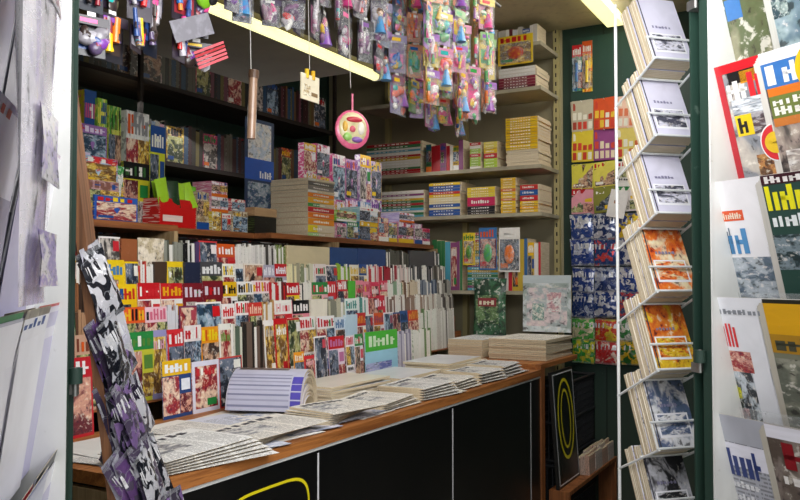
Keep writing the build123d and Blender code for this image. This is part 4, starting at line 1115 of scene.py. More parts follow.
def newspaper(goods, x, y, turn, width, depth, thick, look, sheets=4, fan=3.0, base_z=COUNTER):
    """Folded newspapers: sheets with a soft rounded fold at the front, a little fanned."""
    chance = goods.chance
    for layer in range(sheets):
        step = thick / sheets
        base = lying(x, y, base_z + layer * step, turn + (layer - sheets / 2) * fan + chance.uniform(-1, 1))

        def top(s, t, step=step, layer=layer):
            nose = math.sqrt(max(0.0, 1 - (1 - min(t / 0.06, 1.0)) ** 2))
            return s * width, t * depth, step * (0.5 + 0.45 * nose) + 0.003 * math.sin(3 * s + layer) * t

        def under(s, t, step=step):
            nose = math.sqrt(max(0.0, 1 - (1 - min(t / 0.06, 1.0)) ** 2))
            return s * width, t * depth, step * (0.5 - 0.5 * nose) + 0.0004

        goods.patch(base, 5, 8, top, look, FACE, NEWS)
        goods.patch(base, 5, 8, under, look, EDGE, NEWS, flip=True)
        goods.sides(base, top, under, 5, 8, look, EDGE, NEWS)
        if layer == sheets - 1:
            goods.layers(base, top, [[(0.08, 0.3, 0.5, 0.75, ("8c8c92", "d4d2ce"))],
                                     bars(chance, 0.1, 0.8, 0.85, 0.92, "4c4c54", 7)], NEWS)


def counter_papers():
    """Newspapers in fans along the front, piles behind, magazines standing at the back."""
    goods = Goods(51)
    chance = goods.chance
    grey = ("e2e0dc", "eae9e6", "d8d7d6", "e4dfd6")
    inks = ("8c8f96", "a8a4a0", "8c96ac", "a8a498")
    for index in range(64):
        x = -1.44 + index * 0.032 + chance.uniform(-0.03, 0.03)
        y = (-0.395, -0.3, -0.19)[index % 3] + chance.uniform(-0.01, 0.02)
        turn = chance.uniform(-14, 14)
        colour = chance.choice(("e9e7e2", "dcdcec", "e6e0d4", "d8dcea", "efece6"))
        kind = chance.choice((PAPER, PRINT, PRINT, PHOTO))
        sheet = lying(min(x, 0.55), y, COUNTER + 0.0015 + 0.0012 * (index % 4), turn)
        goods.card(sheet, 0.19, 0.23, goods.look(colour, "a8b0c8", kind), (), NEWS, 0.001)
    for x, y, turn, width, depth, thick, sheets, fan in (
            (-1.42, -0.40, -4, 0.3, 0.2, 0.032, 6, 3), (-1.12, -0.398, 6, 0.3, 0.19, 0.026, 6, -4),
            (-0.79, -0.398, 3, 0.24, 0.18, 0.038, 8, -4), (-0.5, -0.4, 4, 0.22, 0.19, 0.028, 5, 2),
            (-0.25, -0.4, -3, 0.23, 0.185, 0.044, 5, 2), (0.0, -0.4, 2, 0.21, 0.18, 0.038, 4, 2),
            (0.235, -0.4, -2, 0.21, 0.17, 0.044, 4, 2), (0.47, -0.4, 2, 0.21, 0.17, 0.05, 4, 2)):
        newspaper(goods, x, y, turn, width, depth, thick, goods.look(grey, inks, PRINT), sheets, fan)
    for x, y, width, depth, total in ((-0.47, -0.165, 0.4, 0.2, 0.058), (-0.03, -0.18, 0.38, 0.23, 0.038),
                                      (0.39, -0.18, 0.4, 0.23, 0.06)):
        z = 0.0
        while z < total - 0.008:
            thick = chance.uniform(0.005, 0.012)
            place = lying(x + chance.uniform(0, 0.01), y, COUNTER + z + thick, chance.uniform(-3, 3))
            look = goods.look(("efe9dc", "e6e0d2", "dcdce0", "ece8e2"), COVERS, PAPER)
            goods.booklet(place, width - 0.03, depth - 0.01, thick - 0.0012, look, spine=EDGE)
            z += thick
    for left, right, height, style, tint, accent in STANDING:
        stand_group(goods, left, right, 0.106, COUNTER, height, style, tint, accent)
    goods.make("papers_on_counter", BASE, ["counter_papers"])


def arched_pile():
    """Magazines bent over in an arch, their page edges in view."""
    goods = Goods(52)
    chance = goods.chance
    place = moved(-0.70, -0.212, COUNTER) @ turned(20, "Z")
    layers = 24
    for layer in range(layers):
        share = layer / (layers - 1)
        look = goods.look(("d9d8e6", "9c9cb4", "c4c4d8")[layer % 3], "e8e8f0", PAPER)
        reach = 0.062 + 0.036 * share
        rise = 0.05 + 0.082 * share
        slip = chance.uniform(-0.006, 0.006)
        thick = 0.0028

        def arch(s, t, reach=reach, rise=rise, slip=slip, drop=0.0):
            turn = math.pi * (0.02 + 0.96 * t)
            x = 0.1 - reach * math.cos(turn) * (1 - drop / reach)
            z = math.sin(turn) ** 0.8 * (rise - drop)
            return x, s * 0.232 + slip + 0.004, max(z, 0.0004)

        goods.patch(place, 2, 14, arch, look, FACE, COVER, flip=True)
        goods.patch(place, 2, 14, lambda s, t: arch(s, t, drop=thick), look, EDGE, COVER)
        for edge in (0.0, 1.0):
            goods.patch(place, 1, 14, lambda s, t, e=edge: arch(e, t, drop=thick * (1 - s)), look, EDGE, COVER,
                        flip=edge < 0.5)
        if layer == layers - 1:
            blocks = [(0.42, 0.66, 0.25, 0.95, ("1c1a1c", "6c6058")), (0.0, 0.3, 0.0, 0.14, "5a52b4")]
            blocks += [(0.02 + 0.042 * stripe, 0.034 + 0.042 * stripe, 0.16, 1.0, ("8c8eaa", "aaaac2")[stripe % 2])
                       for stripe in range(8)]
            for low, high, left, right, colour in blocks:
                def on_top(s, t, low=low, high=high, left=left, right=right):
                    x, y, z = arch(left + (right - left) * s, low + (high - low) * t)
                    return x, y, z + 0.0006
                plain = isinstance(colour, str)
                tinted = goods.flat(colour) if plain else goods.look(colour[0], colour[1], PHOTO)
                goods.patch(place, 3, 5, on_top, tinted, BLOCK if plain else FACE, COVER, flip=True)
    goods.make("arched_magazines", BASE, ["bent_pile"])


def flap_goods():
    """Piles on the flap, with a square album and a green pack standing on them."""
    goods = Goods(53)
    chance = goods.chance
    for low, high, total in ((-0.405, -0.1, 0.108), (-0.08, 0.12, 0.088)):
        z = FLAP
        while z < FLAP + total - 0.01:
            thick = chance.uniform(0.006, 0.014)
            place = lying(0.972 + chance.uniform(0, 0.008), low + 0.004, z + thick, chance.uniform(-1, 1))
            look = goods.look(("efe9dc", "e6e0d2", "e9e8e6"), PALES, PRINT)
            goods.booklet(place, 0.395, high - low - 0.014, thick - 0.0012, look, finish=NEWS, spine=EDGE)
            z += thick
    album = sideways(1.3705, -0.138, 1.133, 0, -1)
    goods.booklet(album, 0.262, 0.296, 0.009, goods.look("dfe6ea", "a8b8b4", PHOTO),
                  [[(0.08, 0.1, 0.92, 0.78, ("b8c4c8", "e8d8dc")), (0.0, 0.86, 1.0, 1.0, "c8d4d8")],
                   [(0.2, 0.2, 0.45, 0.5, ("8cb0a8", "e8e8e0")), (0.5, 0.35, 0.8, 0.7, ("d8a8b0", "f0ecec"))]])
    pack = sideways(1.295, 0.116, 1.113, 0, -2)
    goods.pillow(pack, 0.19, 0.3, 0.07, goods.look("1c3c2c", "3c6c4c", PHOTO), CARD, 0.004, 8)
    goods.card(pack @ moved(0.03, 0.06, 0.036), 0.13, 0.15, goods.look("2c4c34", "6c8c5c", PHOTO),
               [[(0.1, 0.6, 0.9, 0.9, "8c3038")], bars(chance, 0.15, 0.66, 0.85, 0.84, "e8e0c8", 4)])
    goods.make("flap_piles", BASE, ["flap_stock"])


counter_papers()
arched_pile()
flap_goods()

# Things that hang


def toy_bag(goods, x, y, bottom, width, height, tints, accents, turn, wrapped=True):
    """A clear bag under a printed header, with small coloured toys before a dull card."""
    chance = goods.chance
    place = facing(x + width / 2, y, bottom, turn) @ moved(-width / 2, 0, 0)
    header = min(0.034, height * 0.22)
    goods.card(place @ moved(0, height - header, 0.004), width, header, goods.look(tints, accents, PLAIN),
               [[(0.15, 0.25, 0.65, 0.7, chance.choice(BRIGHTS))]])
    goods.card(place @ moved(0.003, 0.004, -0.009), width - 0.006, height - 0.008,
               goods.look(tints, accents, PLAIN),
               [[(0.1, chance.uniform(0.1, 0.3), 0.9, chance.uniform(0.5, 0.75), chance.choice(accents))]])
    style = chance.random()
    for _ in range((4 if wrapped else 8) + int(height / 0.05)):
        spot = place @ moved(chance.uniform(0.016, width - 0.016),
                             chance.uniform(0.014, height - header - 0.014), 0.0)
        look = goods.look(accents if chance.random() < 0.7 else BRIGHTS, tints)
        if style < 0.4:
            end = (chance.uniform(-0.015, 0.015), chance.uniform(0.025, 0.06), 0)
            goods.tube(spot, (0, 0, 0), end, chance.uniform(0.005, 0.01), look, TOY, 6, chance.uniform(0.4, 1.0))
        else:
            radii = (chance.uniform(0.008, 0.02), chance.uniform(0.012, 0.028), 0.008)
            goods.ball(spot @ turned(chance.uniform(0, 180), "Z"), radii, look, TOY, 6, 4, 0.7)
    if style > 0.75 and wrapped:
        middle = place @ moved(width / 2, height * 0.42, 0.006)
        goods.ball(middle @ moved(0, 0.022, 0), (0.012, 0.014, 0.008), goods.look("e8c4a4"), TOY, 7, 5)
        hair = goods.look(("e8c838", "6c3c24", "d86c9c"))
        goods.ball(middle @ moved(0, 0.028, -0.003), (0.017, 0.017, 0.009), hair, TOY, 7, 5)
        skirt = goods.look(("e04890", "8c4cb0", "4c9cd8"))
        goods.tube(middle, (0, 0.012, 0), (0, -0.05, 0), 0.007, skirt, TOY, 8, 3.2)
    if wrapped:
        goods.pillow(place @ moved(0, 0, 0.002), width, height - header * 0.5, 0.034, goods.look(CLEAR), FILM,
                     0.002, 4)
    goods.card(place @ moved(width * 0.38, height, 0), width * 0.24, 0.01, goods.flat("e8e8e6"))


def bag_string(goods, x, y, low, wide, tints, accents, spread, wrapped=True, top=2.61):
    """Bags one below another, down to a height."""
    chance = goods.chance
    while top - low > 0.05:
        height = min(chance.uniform(0.11, 0.19), top - low)
        if top - low - height < 0.06:
            height = top - low
        toy_bag(goods, x + chance.uniform(-0.006, 0.006), y, top - height, wide * chance.uniform(0.8, 1.05),
                height - 0.01, tints, accents, chance.uniform(-spread, spread), wrapped)
        top -= height


def hanging_rows():
    """Bags in strings under the rails: at the left their tints are darkened as painted shade under the roof, at the
    right they are bright.
    """
    goods = Goods(61)
    chance = goods.chance
    # These strings' tints are near black as painted shade under the roof.
    dark = (("1c1a22", "241c28", "161c2a", "2c2230"), ("8c2430", "5a4a6c", "8c8890", "3a2c28", "2c4c8c", "b8b4bc"))
    for index in range(6):
        low = (1.872, 1.88, 1.912, 1.92, 1.922, 1.93)[index]
        bag_string(goods, -1.575 + index * 0.064, -0.302 + 0.022 * (index % 2), low, 0.078, *dark, 35, False)
    plate = facing(-1.325, -0.322, 1.955, -8) @ turned(24, "Z")
    goods.card(plate, 0.12, 0.05, goods.look("77757c", "9a98a2", PAPER), (), TOY)
    for index in range(5):
        stripe = facing(-1.262 + index * 0.004, -0.318, 1.945 - index * 0.008, -8) @ turned(28, "Z")
        goods.card(stripe, 0.1, 0.006, goods.flat(("a83038", "c85860")), (), CARD)
    pack = facing(-1.235, -0.3, 2.05)
    goods.ball(pack @ moved(0.02, 0.07, 0), (0.034, 0.05, 0.02), goods.look("7cb828", "2c6c20"), TOY, 10, 6)
    goods.ball(pack @ moved(0.036, 0.06, 0.012), (0.02, 0.03, 0.016), goods.look("1c1c20"), TOY, 8, 5)
    goods.make("shade_darkened_toy_packs", BASE, ["hanging_toys"])

    goods = Goods(62)
    chance = goods.chance
    # The dull tints, and the soft ones less so, are darkened as painted shade under the roof; the bright ones are
    # the bags' own colours.
    dull = (("3a3040", "544860", "2c2830", "6c6070", "484050"),
            ("8c5888", "a88898", "c8c0c8", "5c3c60", "b87898", "d0ccd4"))
    soft = (("7c6c90", "9890b0", "a89888", "8c6078", "70809c"),
            ("d870a0", "e8c040", "9860b0", "70b0c0", "e86c50", "c8c0d8"))
    bright = (("d890b0", "e0c860", "88b070", "a878c0", "e0a080"),
              ("e04890", "f0d040", "9048a0", "58b070", "f08030", "f4eef0"))
    rail = 2.6117
    lengths = (0.48, 0.46, 0.45, 0.445, 0.455, 0.44, 0.47, 0.59, 0.57, 0.6, 0.56, 0.59)
    for index in range(24):
        colours = dull if index < 13 else (soft if index < 16 else bright)
        low = rail - lengths[index // 2] + chance.uniform(0, 0.012)
        bag_string(goods, -1.028 + index * 0.065, -0.2 + 0.02 * (index % 2), low, 0.072, *colours, 42)
    for left, count, y, drops in ((0.09, 8, -0.07, (0.5, 0.44, 0.52)), (-0.12, 10, -0.32, (0.56, 0.5, 0.58))):
        for index in range(count):
            low = rail - drops[index // 2 % 3] + chance.uniform(0, 0.02)
            bag_string(goods, left + index * 0.067, y + 0.02 * (index % 2) - 0.01, low, 0.08, *bright, 40)
    goods.make("clear_toy_packs", BASE, ["hanging_packets"])


def novelties():
    """Three things on threads: a brownish tube, a cream tag with a yellow peg and a round toy."""
    goods = Goods(63)
    here = Matrix.Identity(4)
    threads = goods.look("d8d4cc")
    for x, top in ((-0.933, 1.995), (-0.656, 2.06), (-0.424, 2.05)):
        goods.tube(here, (x, -0.212, top), (x, -0.195, 2.612), 0.0012, threads, MATT, 5)
    brown = goods.look("9c7c64", "6c5040")
    goods.tube(here, (-0.939, -0.219, 1.802), (-0.93, -0.219, 1.99), 0.012, brown, TOY, 12)
    goods.tube(here, (-0.931, -0.219, 1.972), (-0.929, -0.219, 1.994), 0.015, goods.look("5c4434"), TOY, 12)
    tag = facing(-0.703, -0.215, 1.962)
    goods.booklet(tag, 0.094, 0.08, 0.004, goods.look("efe4c8", "d8c8a0", PAPER),
                  [[(0.12, 0.15, 0.5, 0.6, ("c8b080", "f0e8d0")), (0.55, 0.2, 0.9, 0.35, "8c7048")]])
    goods.tube(here, (-0.672, -0.213, 2.03), (-0.672, -0.213, 2.058), 0.007, goods.look("f0c820"), TOY, 10)
    goods.tube(here, (-0.64, -0.213, 2.03), (-0.64, -0.213, 2.058), 0.007, goods.look("e8b818"), TOY, 10)
    middle = facing(-0.424, -0.219, 1.91, -35)
    goods.ball(middle, (0.062, 0.066, 0.01), goods.look("e0688c", "c84060"), TOY, 22, 10)
    goods.ball(middle @ moved(0, 0.004, 0.004), (0.052, 0.054, 0.011), goods.look("d8cc9c", "a8a878"), TOY, 18, 8)
    for x, y, across, up, colour in (
            (-0.022, -0.026, 0.016, 0.014, "9ccc6c"), (0.026, 0.004, 0.014, 0.022, "f0e8d8"),
            (0.002, 0.032, 0.03, 0.01, "c83848"), (-0.03, 0.008, 0.01, 0.018, "e8b850"),
            (0.012, -0.034, 0.02, 0.01, "8c60b0"), (-0.004, 0.0, 0.012, 0.012, "d85c70")):
        goods.ball(middle @ moved(x, y, 0.012), (across, up, 0.008), goods.look(colour), TOY, 9, 6)
    goods.tube(middle, (0, 0.06, 0), (0, 0.12, 0), 0.004, goods.look("e87c98"), TOY, 8)
    goods.make("hanging_novelties", BASE, ["hung_novelties"])


hanging_rows()
novelties()

# Shelves on the end wall and the back wall


def flat_pile(goods, near, far, low, books, x=1.401):
    """Books lying in a pile, spines or page edges to the room."""
    chance = goods.chance
    z = low
    for thick, tint, spine in books:
        place = lying(x + chance.uniform(0.001, 0.006), far - chance.uniform(0, 0.01), z + thick, -90)
        look = goods.look(tint, "f0ece0", PAPER)
        goods.booklet(place, far - near - 0.012, 0.2, thick - 0.001, look, spine=EDGE)
        if spine:
            goods.card(sideways(x - 0.0005, far - 0.004, z + 0.001), far - near - 0.016, thick - 0.0025, look,
                       [bars(chance, 0.15, 0.3, 0.8, 0.7, "f4f0e8", 8)], CARD)
        z += thick


def upright_row(goods, near, far, low, tallest, tints, accents, x=1.404):
    """Books or packs standing side by side, facing the room."""
    chance = goods.chance
    y = far
    while y > near + 0.012:
        width = min(chance.uniform(0.014, 0.045), y - near)
        look = goods.look(tints, accents, PAPER)
        art = cover_art(chance, "") if width > 0.034 else ()
        goods.booklet(sideways(x + chance.uniform(0, 0.01), y, low), width - 0.001,
                      tallest * chance.uniform(0.8, 1.0), 0.14, look, art, 0.0005, grid=2)
        y -= width


def end_goods():
    """Book piles, box stacks and books in rows on the end wall's shelves."""
    goods = Goods(71)
    chance = goods.chance

    def stack(total, choices, spine=True, thick=(0.01, 0.02)):
        books = []
        while total > thick[1]:
            step = chance.uniform(*thick)
            books.append((step, chance.choice(choices), spine))
            total -= step
        return books

    mixed = ("e9e4da", "b3202a", "58a8c0", "d8b02a", "8c4a7a", "3c7c4c")
    first, second, third, fourth = 1.3456, 1.7656, 2.0206, 2.4406
    # Low shelf at the end wall
    upright_row(goods, -0.226, -0.02, first, 0.3, ("e8e4dc", "c8303c", "d0b040", "3c6ca0"), DARKS)
    flat_pile(goods, 0.004, 0.2, first, stack(0.33, mixed))
    upright_row(goods, 0.23, 0.42, first, 0.3, mixed, PALES)
    flat_pile(goods, 0.45, 0.86, first, stack(0.18, PALES, False))
    # Two shelves of piles
    flat_pile(goods, -0.226, -0.11, second, stack(0.075, ("e8a820", "ecc030"))
              + [(0.03, "c82830", True), (0.03, "2c5ca0", True), (0.028, "c0302c", True)])
    flat_pile(goods, -0.1, 0.0, second, stack(0.2, ("e8b820", "f0c828", "e07828")))
    flat_pile(goods, 0.02, 0.2, second, stack(0.05, ("242226", "2c2a30")) + [(0.05, "c42858", True)]
              + stack(0.07, ("e8c828", "f0d840")))
    flat_pile(goods, 0.23, 0.44, second, stack(0.2, ("c82c28", "f0e0b0", "2c58a0", "e8c020")))
    flat_pile(goods, 0.46, 0.86, second, stack(0.17, mixed))
    flat_pile(goods, -0.226, -0.03, third, stack(0.1, ("efe6d0", "e6dcc0"), False)
              + stack(0.19, ("e8b81c", "ecc020", "e0b018")))
    flat_pile(goods, 0.006, 0.1, third, stack(0.07, ("b8d840", "a8cc38"))
              + [(0.028, "c82c30", True), (0.022, "e8c020", True)] + stack(0.06, ("e0c028", "f0e060")))
    flat_pile(goods, 0.104, 0.184, third, stack(0.15, ("a8cc40", "c83034", "f0ece0")))
    upright_row(goods, 0.214, 0.46, third, 0.17, mixed, DARKS)
    flat_pile(goods, 0.48, 0.86, third, stack(0.2, mixed))
    # Upper shelves
    flat_pile(goods, -0.216, 0.01, fourth, stack(0.07, ("6a2434", "8c3444")) + stack(0.07, ("f0ece4", "e6e2da")))
    upright_row(goods, 0.054, 0.26, fourth, 0.18, PALES + ("c8a8a0",), DARKS)
    flat_pile(goods, 0.304, 0.66, fourth, stack(0.16, mixed))
    upright_row(goods, -0.216, 0.18, 2.6806, 0.1, ("f0ece4", "d8d8dc", "6a2434", "e9e4da", "c8c4bc"), DARKS)
    flat_pile(goods, 0.214, 0.66, 2.6806, stack(0.09, PALES))
    # A card toy and tubes that hang at the shelves' front edge
    for left, top, right, bottom, tint, accent in (
            (498, 38, 533, 62, "e8c828", "c84838"), (463, 233, 475, 265, "e8cc30", "4c8c3c"),
            (479, 228, 497, 270, "3c74b0", "58b05c"), (499, 228, 520, 272, "f2eee8", "e8782c")):
        high = on_end(left, top, 1.392)
        low = on_end(right, bottom, 1.392)
        width, height = high.y - low.y, high.z - low.z
        art = cover_art(chance, tint, 0)
        goods.booklet(sideways(1.392, high.y, low.z), width, height, 0.003, goods.look(tint, accent, PLAIN), art)
        bubble = sideways(1.389, high.y - 0.01, low.z + 0.01)
        goods.pillow(bubble, width - 0.02, height * 0.7, 0.014, goods.look(CLEAR), FILM, 0.001, 5)
        toy = sideways(1.388, (high.y + low.y) / 2, low.z + height * 0.4)
        goods.ball(toy, (width * 0.25, height * 0.22, 0.007), goods.look(accent, tint), TOY, 8, 6)
    goods.make("end_wall_stock", BASE, ["end_shelf_goods"])


def back_goods():
    """Dim rows of cased films and packs on the back wall's shelves."""
    goods = Goods(72)
    chance = goods.chance
    low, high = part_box("back_shelf_goods")
    for level in (0.9, 1.25, 1.6, 1.95, 2.3):
        x = low.x + 0.003
        while x < high.x - 0.02:
            face_on = chance.random() < 0.12
            width = chance.uniform(0.09, 0.13) if face_on else chance.uniform(0.014, 0.03)
            width = min(width, high.x - x)
            height = chance.uniform(0.17, 0.2)
            tints = DARKS + ("5a3038", "30465a", "5c5a50", "6a5030", "2c4c6c", "6c6438", "704050")
            look = goods.look(tints, COVERS, PHOTO if face_on else PAPER)
            art = cover_art(chance, "", 0) if face_on else ()
            goods.booklet(facing(x, low.y + 0.005, level + 0.0006), width - 0.001, height, 0.13, look, art, grid=2)
            x += width
    goods.make("cased_films", BASE, ["back_shelf_goods"])


end_goods()
back_goods()

# The print rack, side sheets and sachets

ENTRANCE = moved(-1.297, -0.932, 0) @ turned(-45, "Z")


def print_packs():
    """Two thick packs of prints in each pocket: page edges at the side, a pale cover in front."""
    goods = Goods(81)
    chance = goods.chance
    fronts = {5: ("e8742a", "f0d8b0"), 4: ("e0782c", "e8c030"), 3: ("e8e8ec", "5c6c8c"),
              2: ("2c2c30", "c8c8d0"), 0: ("c83038", "f0ecec")}
    for level in range(9):
        base = ENTRANCE @ moved(0.65, 0.191, 0.461 + level * 0.185 + 0.0005) @ turned(65, "X")
        for pack, (start, thick, height) in enumerate(((0.0, 0.034, 0.198), (0.039, 0.035, 0.204))):
            tint, accent = fronts.get(level, ("d9d6e8", "efeef6")) if pack == 0 else ("d9d6e8", "f0eef4")
            sheets = 6
            for sheet in range(sheets):
                shift = chance.uniform(0.0, 0.003)
                kind = PHOTO if sheet == 0 and level in fronts else PAPER
                look = goods.look(tint if sheet == 0 else "e9e2d2", accent, kind)
                place = base @ moved(shift, 0, -start - sheet * thick / sheets)
                art = ()
                if sheet == 0:
                    photo = (tint, accent) if level in fronts else ("4c4c5c", "d8d6e4")
                    art = [[(0.1, 0.12, 0.9, 0.42, "f4f3f8")],
                           [(0.14, 0.15, 0.86, 0.4, photo), (0.03, 0.0, 0.06, 1.0, "3c3a48")],
                           bars(chance, 0.2, 0.5, 0.7, 0.54, "8c88a4", 6)]
                goods.booklet(place, 0.11, height - chance.uniform(0, 0.004), thick / sheets - 0.0008, look, art,
                              spine=EDGE, grid=2)
    goods.make("packs_of_prints", BASE, ["print_packs"])


def side_sheets():
    """Cards, sheets and packs that hang on the side panel, and the pegs that carry them."""
    goods = Goods(82)
    chance = goods.chance
    face = 1.7116
    rows = (
        (2.06, 2.22, 0.026, "e8d040 c84030, 9c4c8c f0e0c0, e8d470 d06838"),
        (2.23, 2.39, 0.026, "c8c0a8 b04838, e05a30 f0c840, f0c8b0 e07850"),
        (1.77, 1.9, 0.032, "e8a0b0 d8d040, 8c8c3c e8c830, f2e8e4 8c5840"),
        (1.91, 2.035, 0.032, "e0d850 c85040, e8dc60 9c7c30, f0ece4 e890a8"),
        (1.48, 1.61, 0.04, "1f3f8c c8d0e8, 22407c d84848, 1c3470 e0e0e8"),
        (1.62, 1.745, 0.04, "24448c e0e4f0, 1c3468 c8ccd8, 243c80 e8c830"),
        (1.2, 1.325, 0.044, "1c3878 c0c8e0, 203c80 e0e0ec, 243c74 d04850"),
        (1.335, 1.455, 0.044, "203c84 d8dcec, 1c3470 b8c0d8, 1f3f8c e8e8f0"),
        (0.95, 1.06, 0.05, "3c9a3c e8e040, c83030 f0d0c0, e0b828 3c7c3c"),
        (1.07, 1.175, 0.05, "4cac40 f0e8c0, d04028 f0d040, 3c8c44 e8e8e0"),
    )
    for low, high, depth, colours in rows:
        for column, pair in enumerate(colours.split(", ")):
            tint, accent = pair.split()
            y = -0.311 - column * 0.127
            tall = high - low
            packs = 3 if low < 1.75 else 2
            for copy in range(packs):
                x = face - 0.004 - (depth - 0.014) * copy / (packs - 1)
                place = sideways(x, y + chance.uniform(0.0, 0.006), low, chance.uniform(-4, 2))
                place = place @ turned(chance.uniform(-4, 4), "Z")
                if low < 1.76:
                    goods.pillow(place, 0.124, tall + 0.02, 0.014, goods.look(tint, accent), FOIL, 0.003, 6)
                else:
                    art = cover_art(chance, tint)
                    if low > 2.0:
                        across, up = 0.24, 0.31
                        art = [[(0.06 + across * (i % 4), 0.06 + up * (i // 4), 0.06 + across * (i % 4) + 0.17,
                                 0.3 + up * (i // 4), chance.choice((accent, "f0ecdc", "d84838", accent)))
                                for i in range(12)]]
                    goods.card(place, 0.122, tall + 0.012, goods.look(tint, accent, PAPER), art, CARD, 0.003)
        if high > 1.2:
            for column in range(3):
                y = -0.311 - column * 0.127 - 0.056
                goods.tube(Matrix.Identity(4), (face, y, high + 0.004), (face - depth - 0.006, y, high + 0.008),
                           0.002, goods.look("e8e8e6"), MATT, 6)
    # A white page that hangs askew before the others
    page = on_end(606, 216, 1.672)
    goods.card(sideways(1.672, page.y, page.z, -6) @ turned(-12, "Z"), 0.1, 0.15,
               goods.look("f6f2f0", "e8a890", PAPER),
               [[(0.3, 0.5, 0.6, 0.72, ("8c5840", "d8a080")), (0.1, 0.84, 0.9, 0.94, "e8b8b0")]], CARD, 0.004)
    # Blister packs near the ceiling, with a bubble and a bright toy each
    width = 0.056
    for left, low, high, tint, accent in ((-0.312, 2.46, 2.72, "4c9c6c", "3c6cb8"),
                                          (-0.37, 2.45, 2.735, "ec8c28", "f0d030")):
        place = sideways(face - 0.004, left, low)
        goods.booklet(place, width, high - low, 0.003, goods.look(tint, accent, PHOTO), cover_art(chance, tint, 1))
        goods.tube(place, (width / 2, 0.05, 0.01), (width / 2, (high - low) * 0.6, 0.01), 0.009,
                   goods.look(accent, tint), TOY, 10)
        goods.pillow(place @ moved(0.004, 0.02, 0.006), width - 0.008, (high - low) * 0.7, 0.026,
                     goods.look(CLEAR), FILM, 0.001, 6)
    goods.make("side_cards", BASE, ["side_sheets"])


def foil_sachets():
    """Rows of foil sachets down the leaning board."""
    goods = Goods(83)
    chance = goods.chance
    lean = math.degrees(math.asin(0.224 / 1.79))
    board = ENTRANCE @ moved(-0.424, 0.008, 0.104) @ turned(-lean, "Y")
    # The pale accents in these palettes are painted reflections on the foil; the other tints and accents are print.
    upper = (("2a2236", "3a3444", "1b1d26", "50465c", "c8c6d4"), ("b8b4c8", "8c70a8", "e4e4ec", "6c4c84", "d0d2dc"))
    lower = (("143c38", "16324a", "1c2c2a", "2a2036", "1c5c40"), ("78c0c8", "d8eef4", "3c8c60", "d0d4dc", "5c6cb0"))
    for row in range(11):
        low = 0.06 + row * 0.118
        depth = min(0.096, 0.026 + 0.021 * (10 - row))
        copies = max(3, int(depth / 0.011))
        tints, accents = upper if row > 5 else lower
        for column in range(2):
            for copy in range(copies):
                off = 0.006 + copy * (depth - 0.012) / copies
                swing = chance.uniform(15, 35) if row > 6 else chance.uniform(30, 60)
                place = (board @ moved(off * 0.75, 0.002 + column * 0.092, low + chance.uniform(-0.01, 0.01))
                         @ turned(90 - swing, "Z") @ turned(90 + chance.uniform(-10, 4), "X")
                         @ turned(chance.uniform(8, 30), "Z"))
                goods.pillow(place, 0.075, 0.13, 0.016, goods.look(tints, accents), FOIL, 0.004, 6)
                if row in (1, 2, 4, 6) and copy == copies - 1:
                    tip = place @ moved(0.034, 0.012, 0.012)
                    goods.card(tip, 0.034, 0.07, goods.flat("d82028"), (), CARD, 0.003)
    goods.make("sachets", BASE, ["foil_sachets"])


def low_papers():
    """Pinkish newspapers that stand on the low shelf."""
    goods = Goods(84)
    chance = goods.chance
    low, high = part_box("low_shelf_papers")
    x = low.x
    while x < high.x - 0.05:
        for copy in range(6):
            place = facing(x, low.y + 0.006, 0.4505, chance.uniform(-1, 1), -2) @ moved(0, 0, -copy * 0.011)
            look = goods.look(("e0b8a4", "dcc0b0", "e4d4cc"), "8c7c74", PRINT)
            goods.booklet(place, 0.11, chance.uniform(0.08, 0.105), 0.009, look, (), 0.001, finish=NEWS)
        x += 0.118
    goods.make("low_papers", BASE, ["low_shelf_papers"])


def crates():
    """Two dark plastic crates with open grids in their sides."""
    goods = Goods(85)
    look = goods.look("1c1e22", "2a2d33", PHOTO)
    low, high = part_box("crates")
    half = 0.009
    front, back = low.y + half, high.y - half

    def rod(start, end, radius=0.005, around=5):
        goods.tube(Matrix.Identity(4), start, end, radius, look, MATT, around)

    for bottom, top, left, right in ((0.1, 0.52, low.x, high.x), (0.521, 0.9, low.x + 0.03, high.x - 0.01)):
        ends = (left + half, right - half)
        for z in (bottom + half, (bottom + top) / 2, top - half):
            for y in (front, back):
                rod((left, y, z), (right, y, z), half, 6)
            for x in ends:
                rod((x, low.y, z), (x, high.y, z), half, 6)
        for index in range(23):
            x = ends[0] + (ends[1] - ends[0]) * index / 22
            for y in (front, back):
                rod((x, y, bottom), (x, y, top))
        for index in range(7):
            y = front + (back - front) * index / 6
            for x in ends:
                rod((x, y, bottom), (x, y, top))
        for level in range(1, 12):
            z = bottom + (top - bottom) * level / 12
            for y in (front, back):
                rod((left, y, z), (right, y, z), 0.003)
    goods.make("grid_crates", BASE, ["crates"])


def sign_trim():
    """Plain coloured outlines and joint lines on the black panels, in place of words."""
    goods = Goods(86)
    yellow = goods.look("e8d820", "d8c818", PLAIN)
    white = goods.flat("e8e8ea")
    front = facing(0, -0.4224, 0)
    goods.ring(front @ moved(-1.105, 0.79, 0), 0.165, 0.125, 0.007, yellow, corners=0.45, around=48)
    for x in (-0.9025, -0.0825, 0.7075):
        goods.card(front @ moved(x - 0.003, 0.145, 0.0012), 0.006, 0.81, white)
    board = moved(0.8963, -0.488, 0.4512) @ turned(-4, "X") @ turned(90, "X") @ moved(0, 0, 0.0006)
    goods.ring(board @ moved(0.165, 0.3, 0), 0.118, 0.19, 0.016, yellow)
    goods.ring(board @ moved(0.165, 0.3, 0), 0.072, 0.14, 0.013, yellow)
    for x, y, wide, tall in ((0.012, 0.012, 0.296, 0.005), (0.012, 0.513, 0.296, 0.005),
                             (0.012, 0.012, 0.005, 0.506), (0.303, 0.012, 0.005, 0.506)):
        goods.card(board @ moved(x, y, 0.0014), wide, tall, white)
    goods.make("sign_lines", BASE)


print_packs()
side_sheets()
foil_sachets()
low_papers()
crates()
sign_trim()

# Camera, light and floor

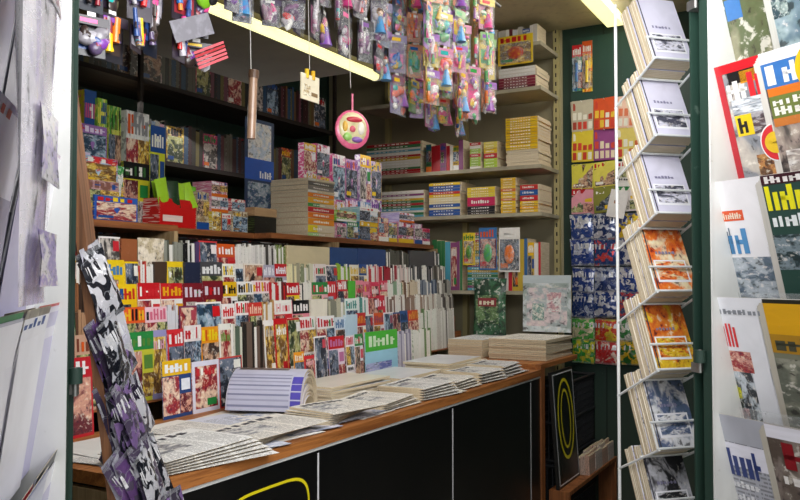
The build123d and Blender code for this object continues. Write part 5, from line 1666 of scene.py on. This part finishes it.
camera_data = bpy.data.cameras.new("camera")
camera = bpy.data.objects.new("camera", camera_data)
scene.collection.objects.link(camera)
scene.camera = camera
camera.location = EYE
camera.rotation_euler = SIGHT
camera_data.lens = camera_data.sensor_width = 36
camera_data.clip_start = 0.01


def lamp(name, place, target, size, power, colour=(1, 1, 1)):
    """A soft square lamp that looks at a point and isn't seen itself."""
    data = bpy.data.lights.new(name, "AREA")
    data.shape = "RECTANGLE"
    data.size, data.size_y = size
    data.energy = power
    data.color = colour
    shown = bpy.data.objects.new(name, data)
    scene.collection.objects.link(shown)
    shown.location = place
    shown.rotation_euler = (Vector(target) - Vector(place)).to_track_quat("-Z", "Y").to_euler()
    shown.visible_camera = False
    return shown


lamp("daylight", (-4.6, -3.6, 3.2), (-0.6, -0.2, 1.2), (3.0, 2.4), 72, (1.0, 0.98, 0.95))
lamp("room_front", (0.3, -0.75, 2.85), (0.2, 0.3, 1.0), (2.4, 0.7), 40, (1.0, 0.97, 0.92))
lamp("room_back", (0.5, 0.75, 2.15), (0.3, 0.4, 1.3), (1.8, 0.3), 4, (1.0, 0.97, 0.92))
lamp("entrance_fill", (-1.5, -1.15, 2.1), (0.3, 0.3, 1.4), (0.9, 0.5), 14)
lamp("leaf_fill", (-1.5, -2.7, 2.3), (-2.05, -0.8, 1.5), (1.0, 0.8), 14)
lamp("yard_left", (-5.0, 3.0, 4.0), (0, 0, 1.5), (4, 4), 120)
lamp("yard_right", (5.0, -4.5, 4.5), (0, 0, 1.5), (4, 4), 140)
lamp("yard_back", (3.5, 5.5, 4.5), (0, 0, 1.5), (4, 4), 120)

world = bpy.data.worlds.new("world")
scene.world = world
sky = Finish("sky", world, "Background")
camera_ray, glossy_ray, transmission_ray = (
    sky.node("ShaderNodeLightPath", None, None, name)
    for name in ("Is Camera Ray", "Is Glossy Ray", "Is Transmission Ray"))
seen = camera_ray.most(glossy_ray).most(transmission_ray)
sky.set(color=(1, 1, 1, 1), strength=seen * 0.64 + 0.36)

floor_mesh = bpy.data.meshes.new("floor")
reach = 14.0
corners = [(-reach, -reach, 0), (reach, -reach, 0), (reach, reach, 0), (-reach, reach, 0)]
floor_mesh.from_pydata(corners, [], [(0, 1, 2, 3)])
floor = bpy.data.objects.new("floor", floor_mesh)
scene.collection.objects.link(floor)
pale = Finish("pale_floor")
cloud = pale.noise(pale.place(), 0.6, 2.0) * 0.1
pale.set(base_color=pale.mix(cloud, tone("e6e6e4"), tone("dededc")), roughness=0.9)
floor_mesh.materials.append(pale.material)
floor.location.z = -0.001

scene.view_settings.view_transform = "Standard"
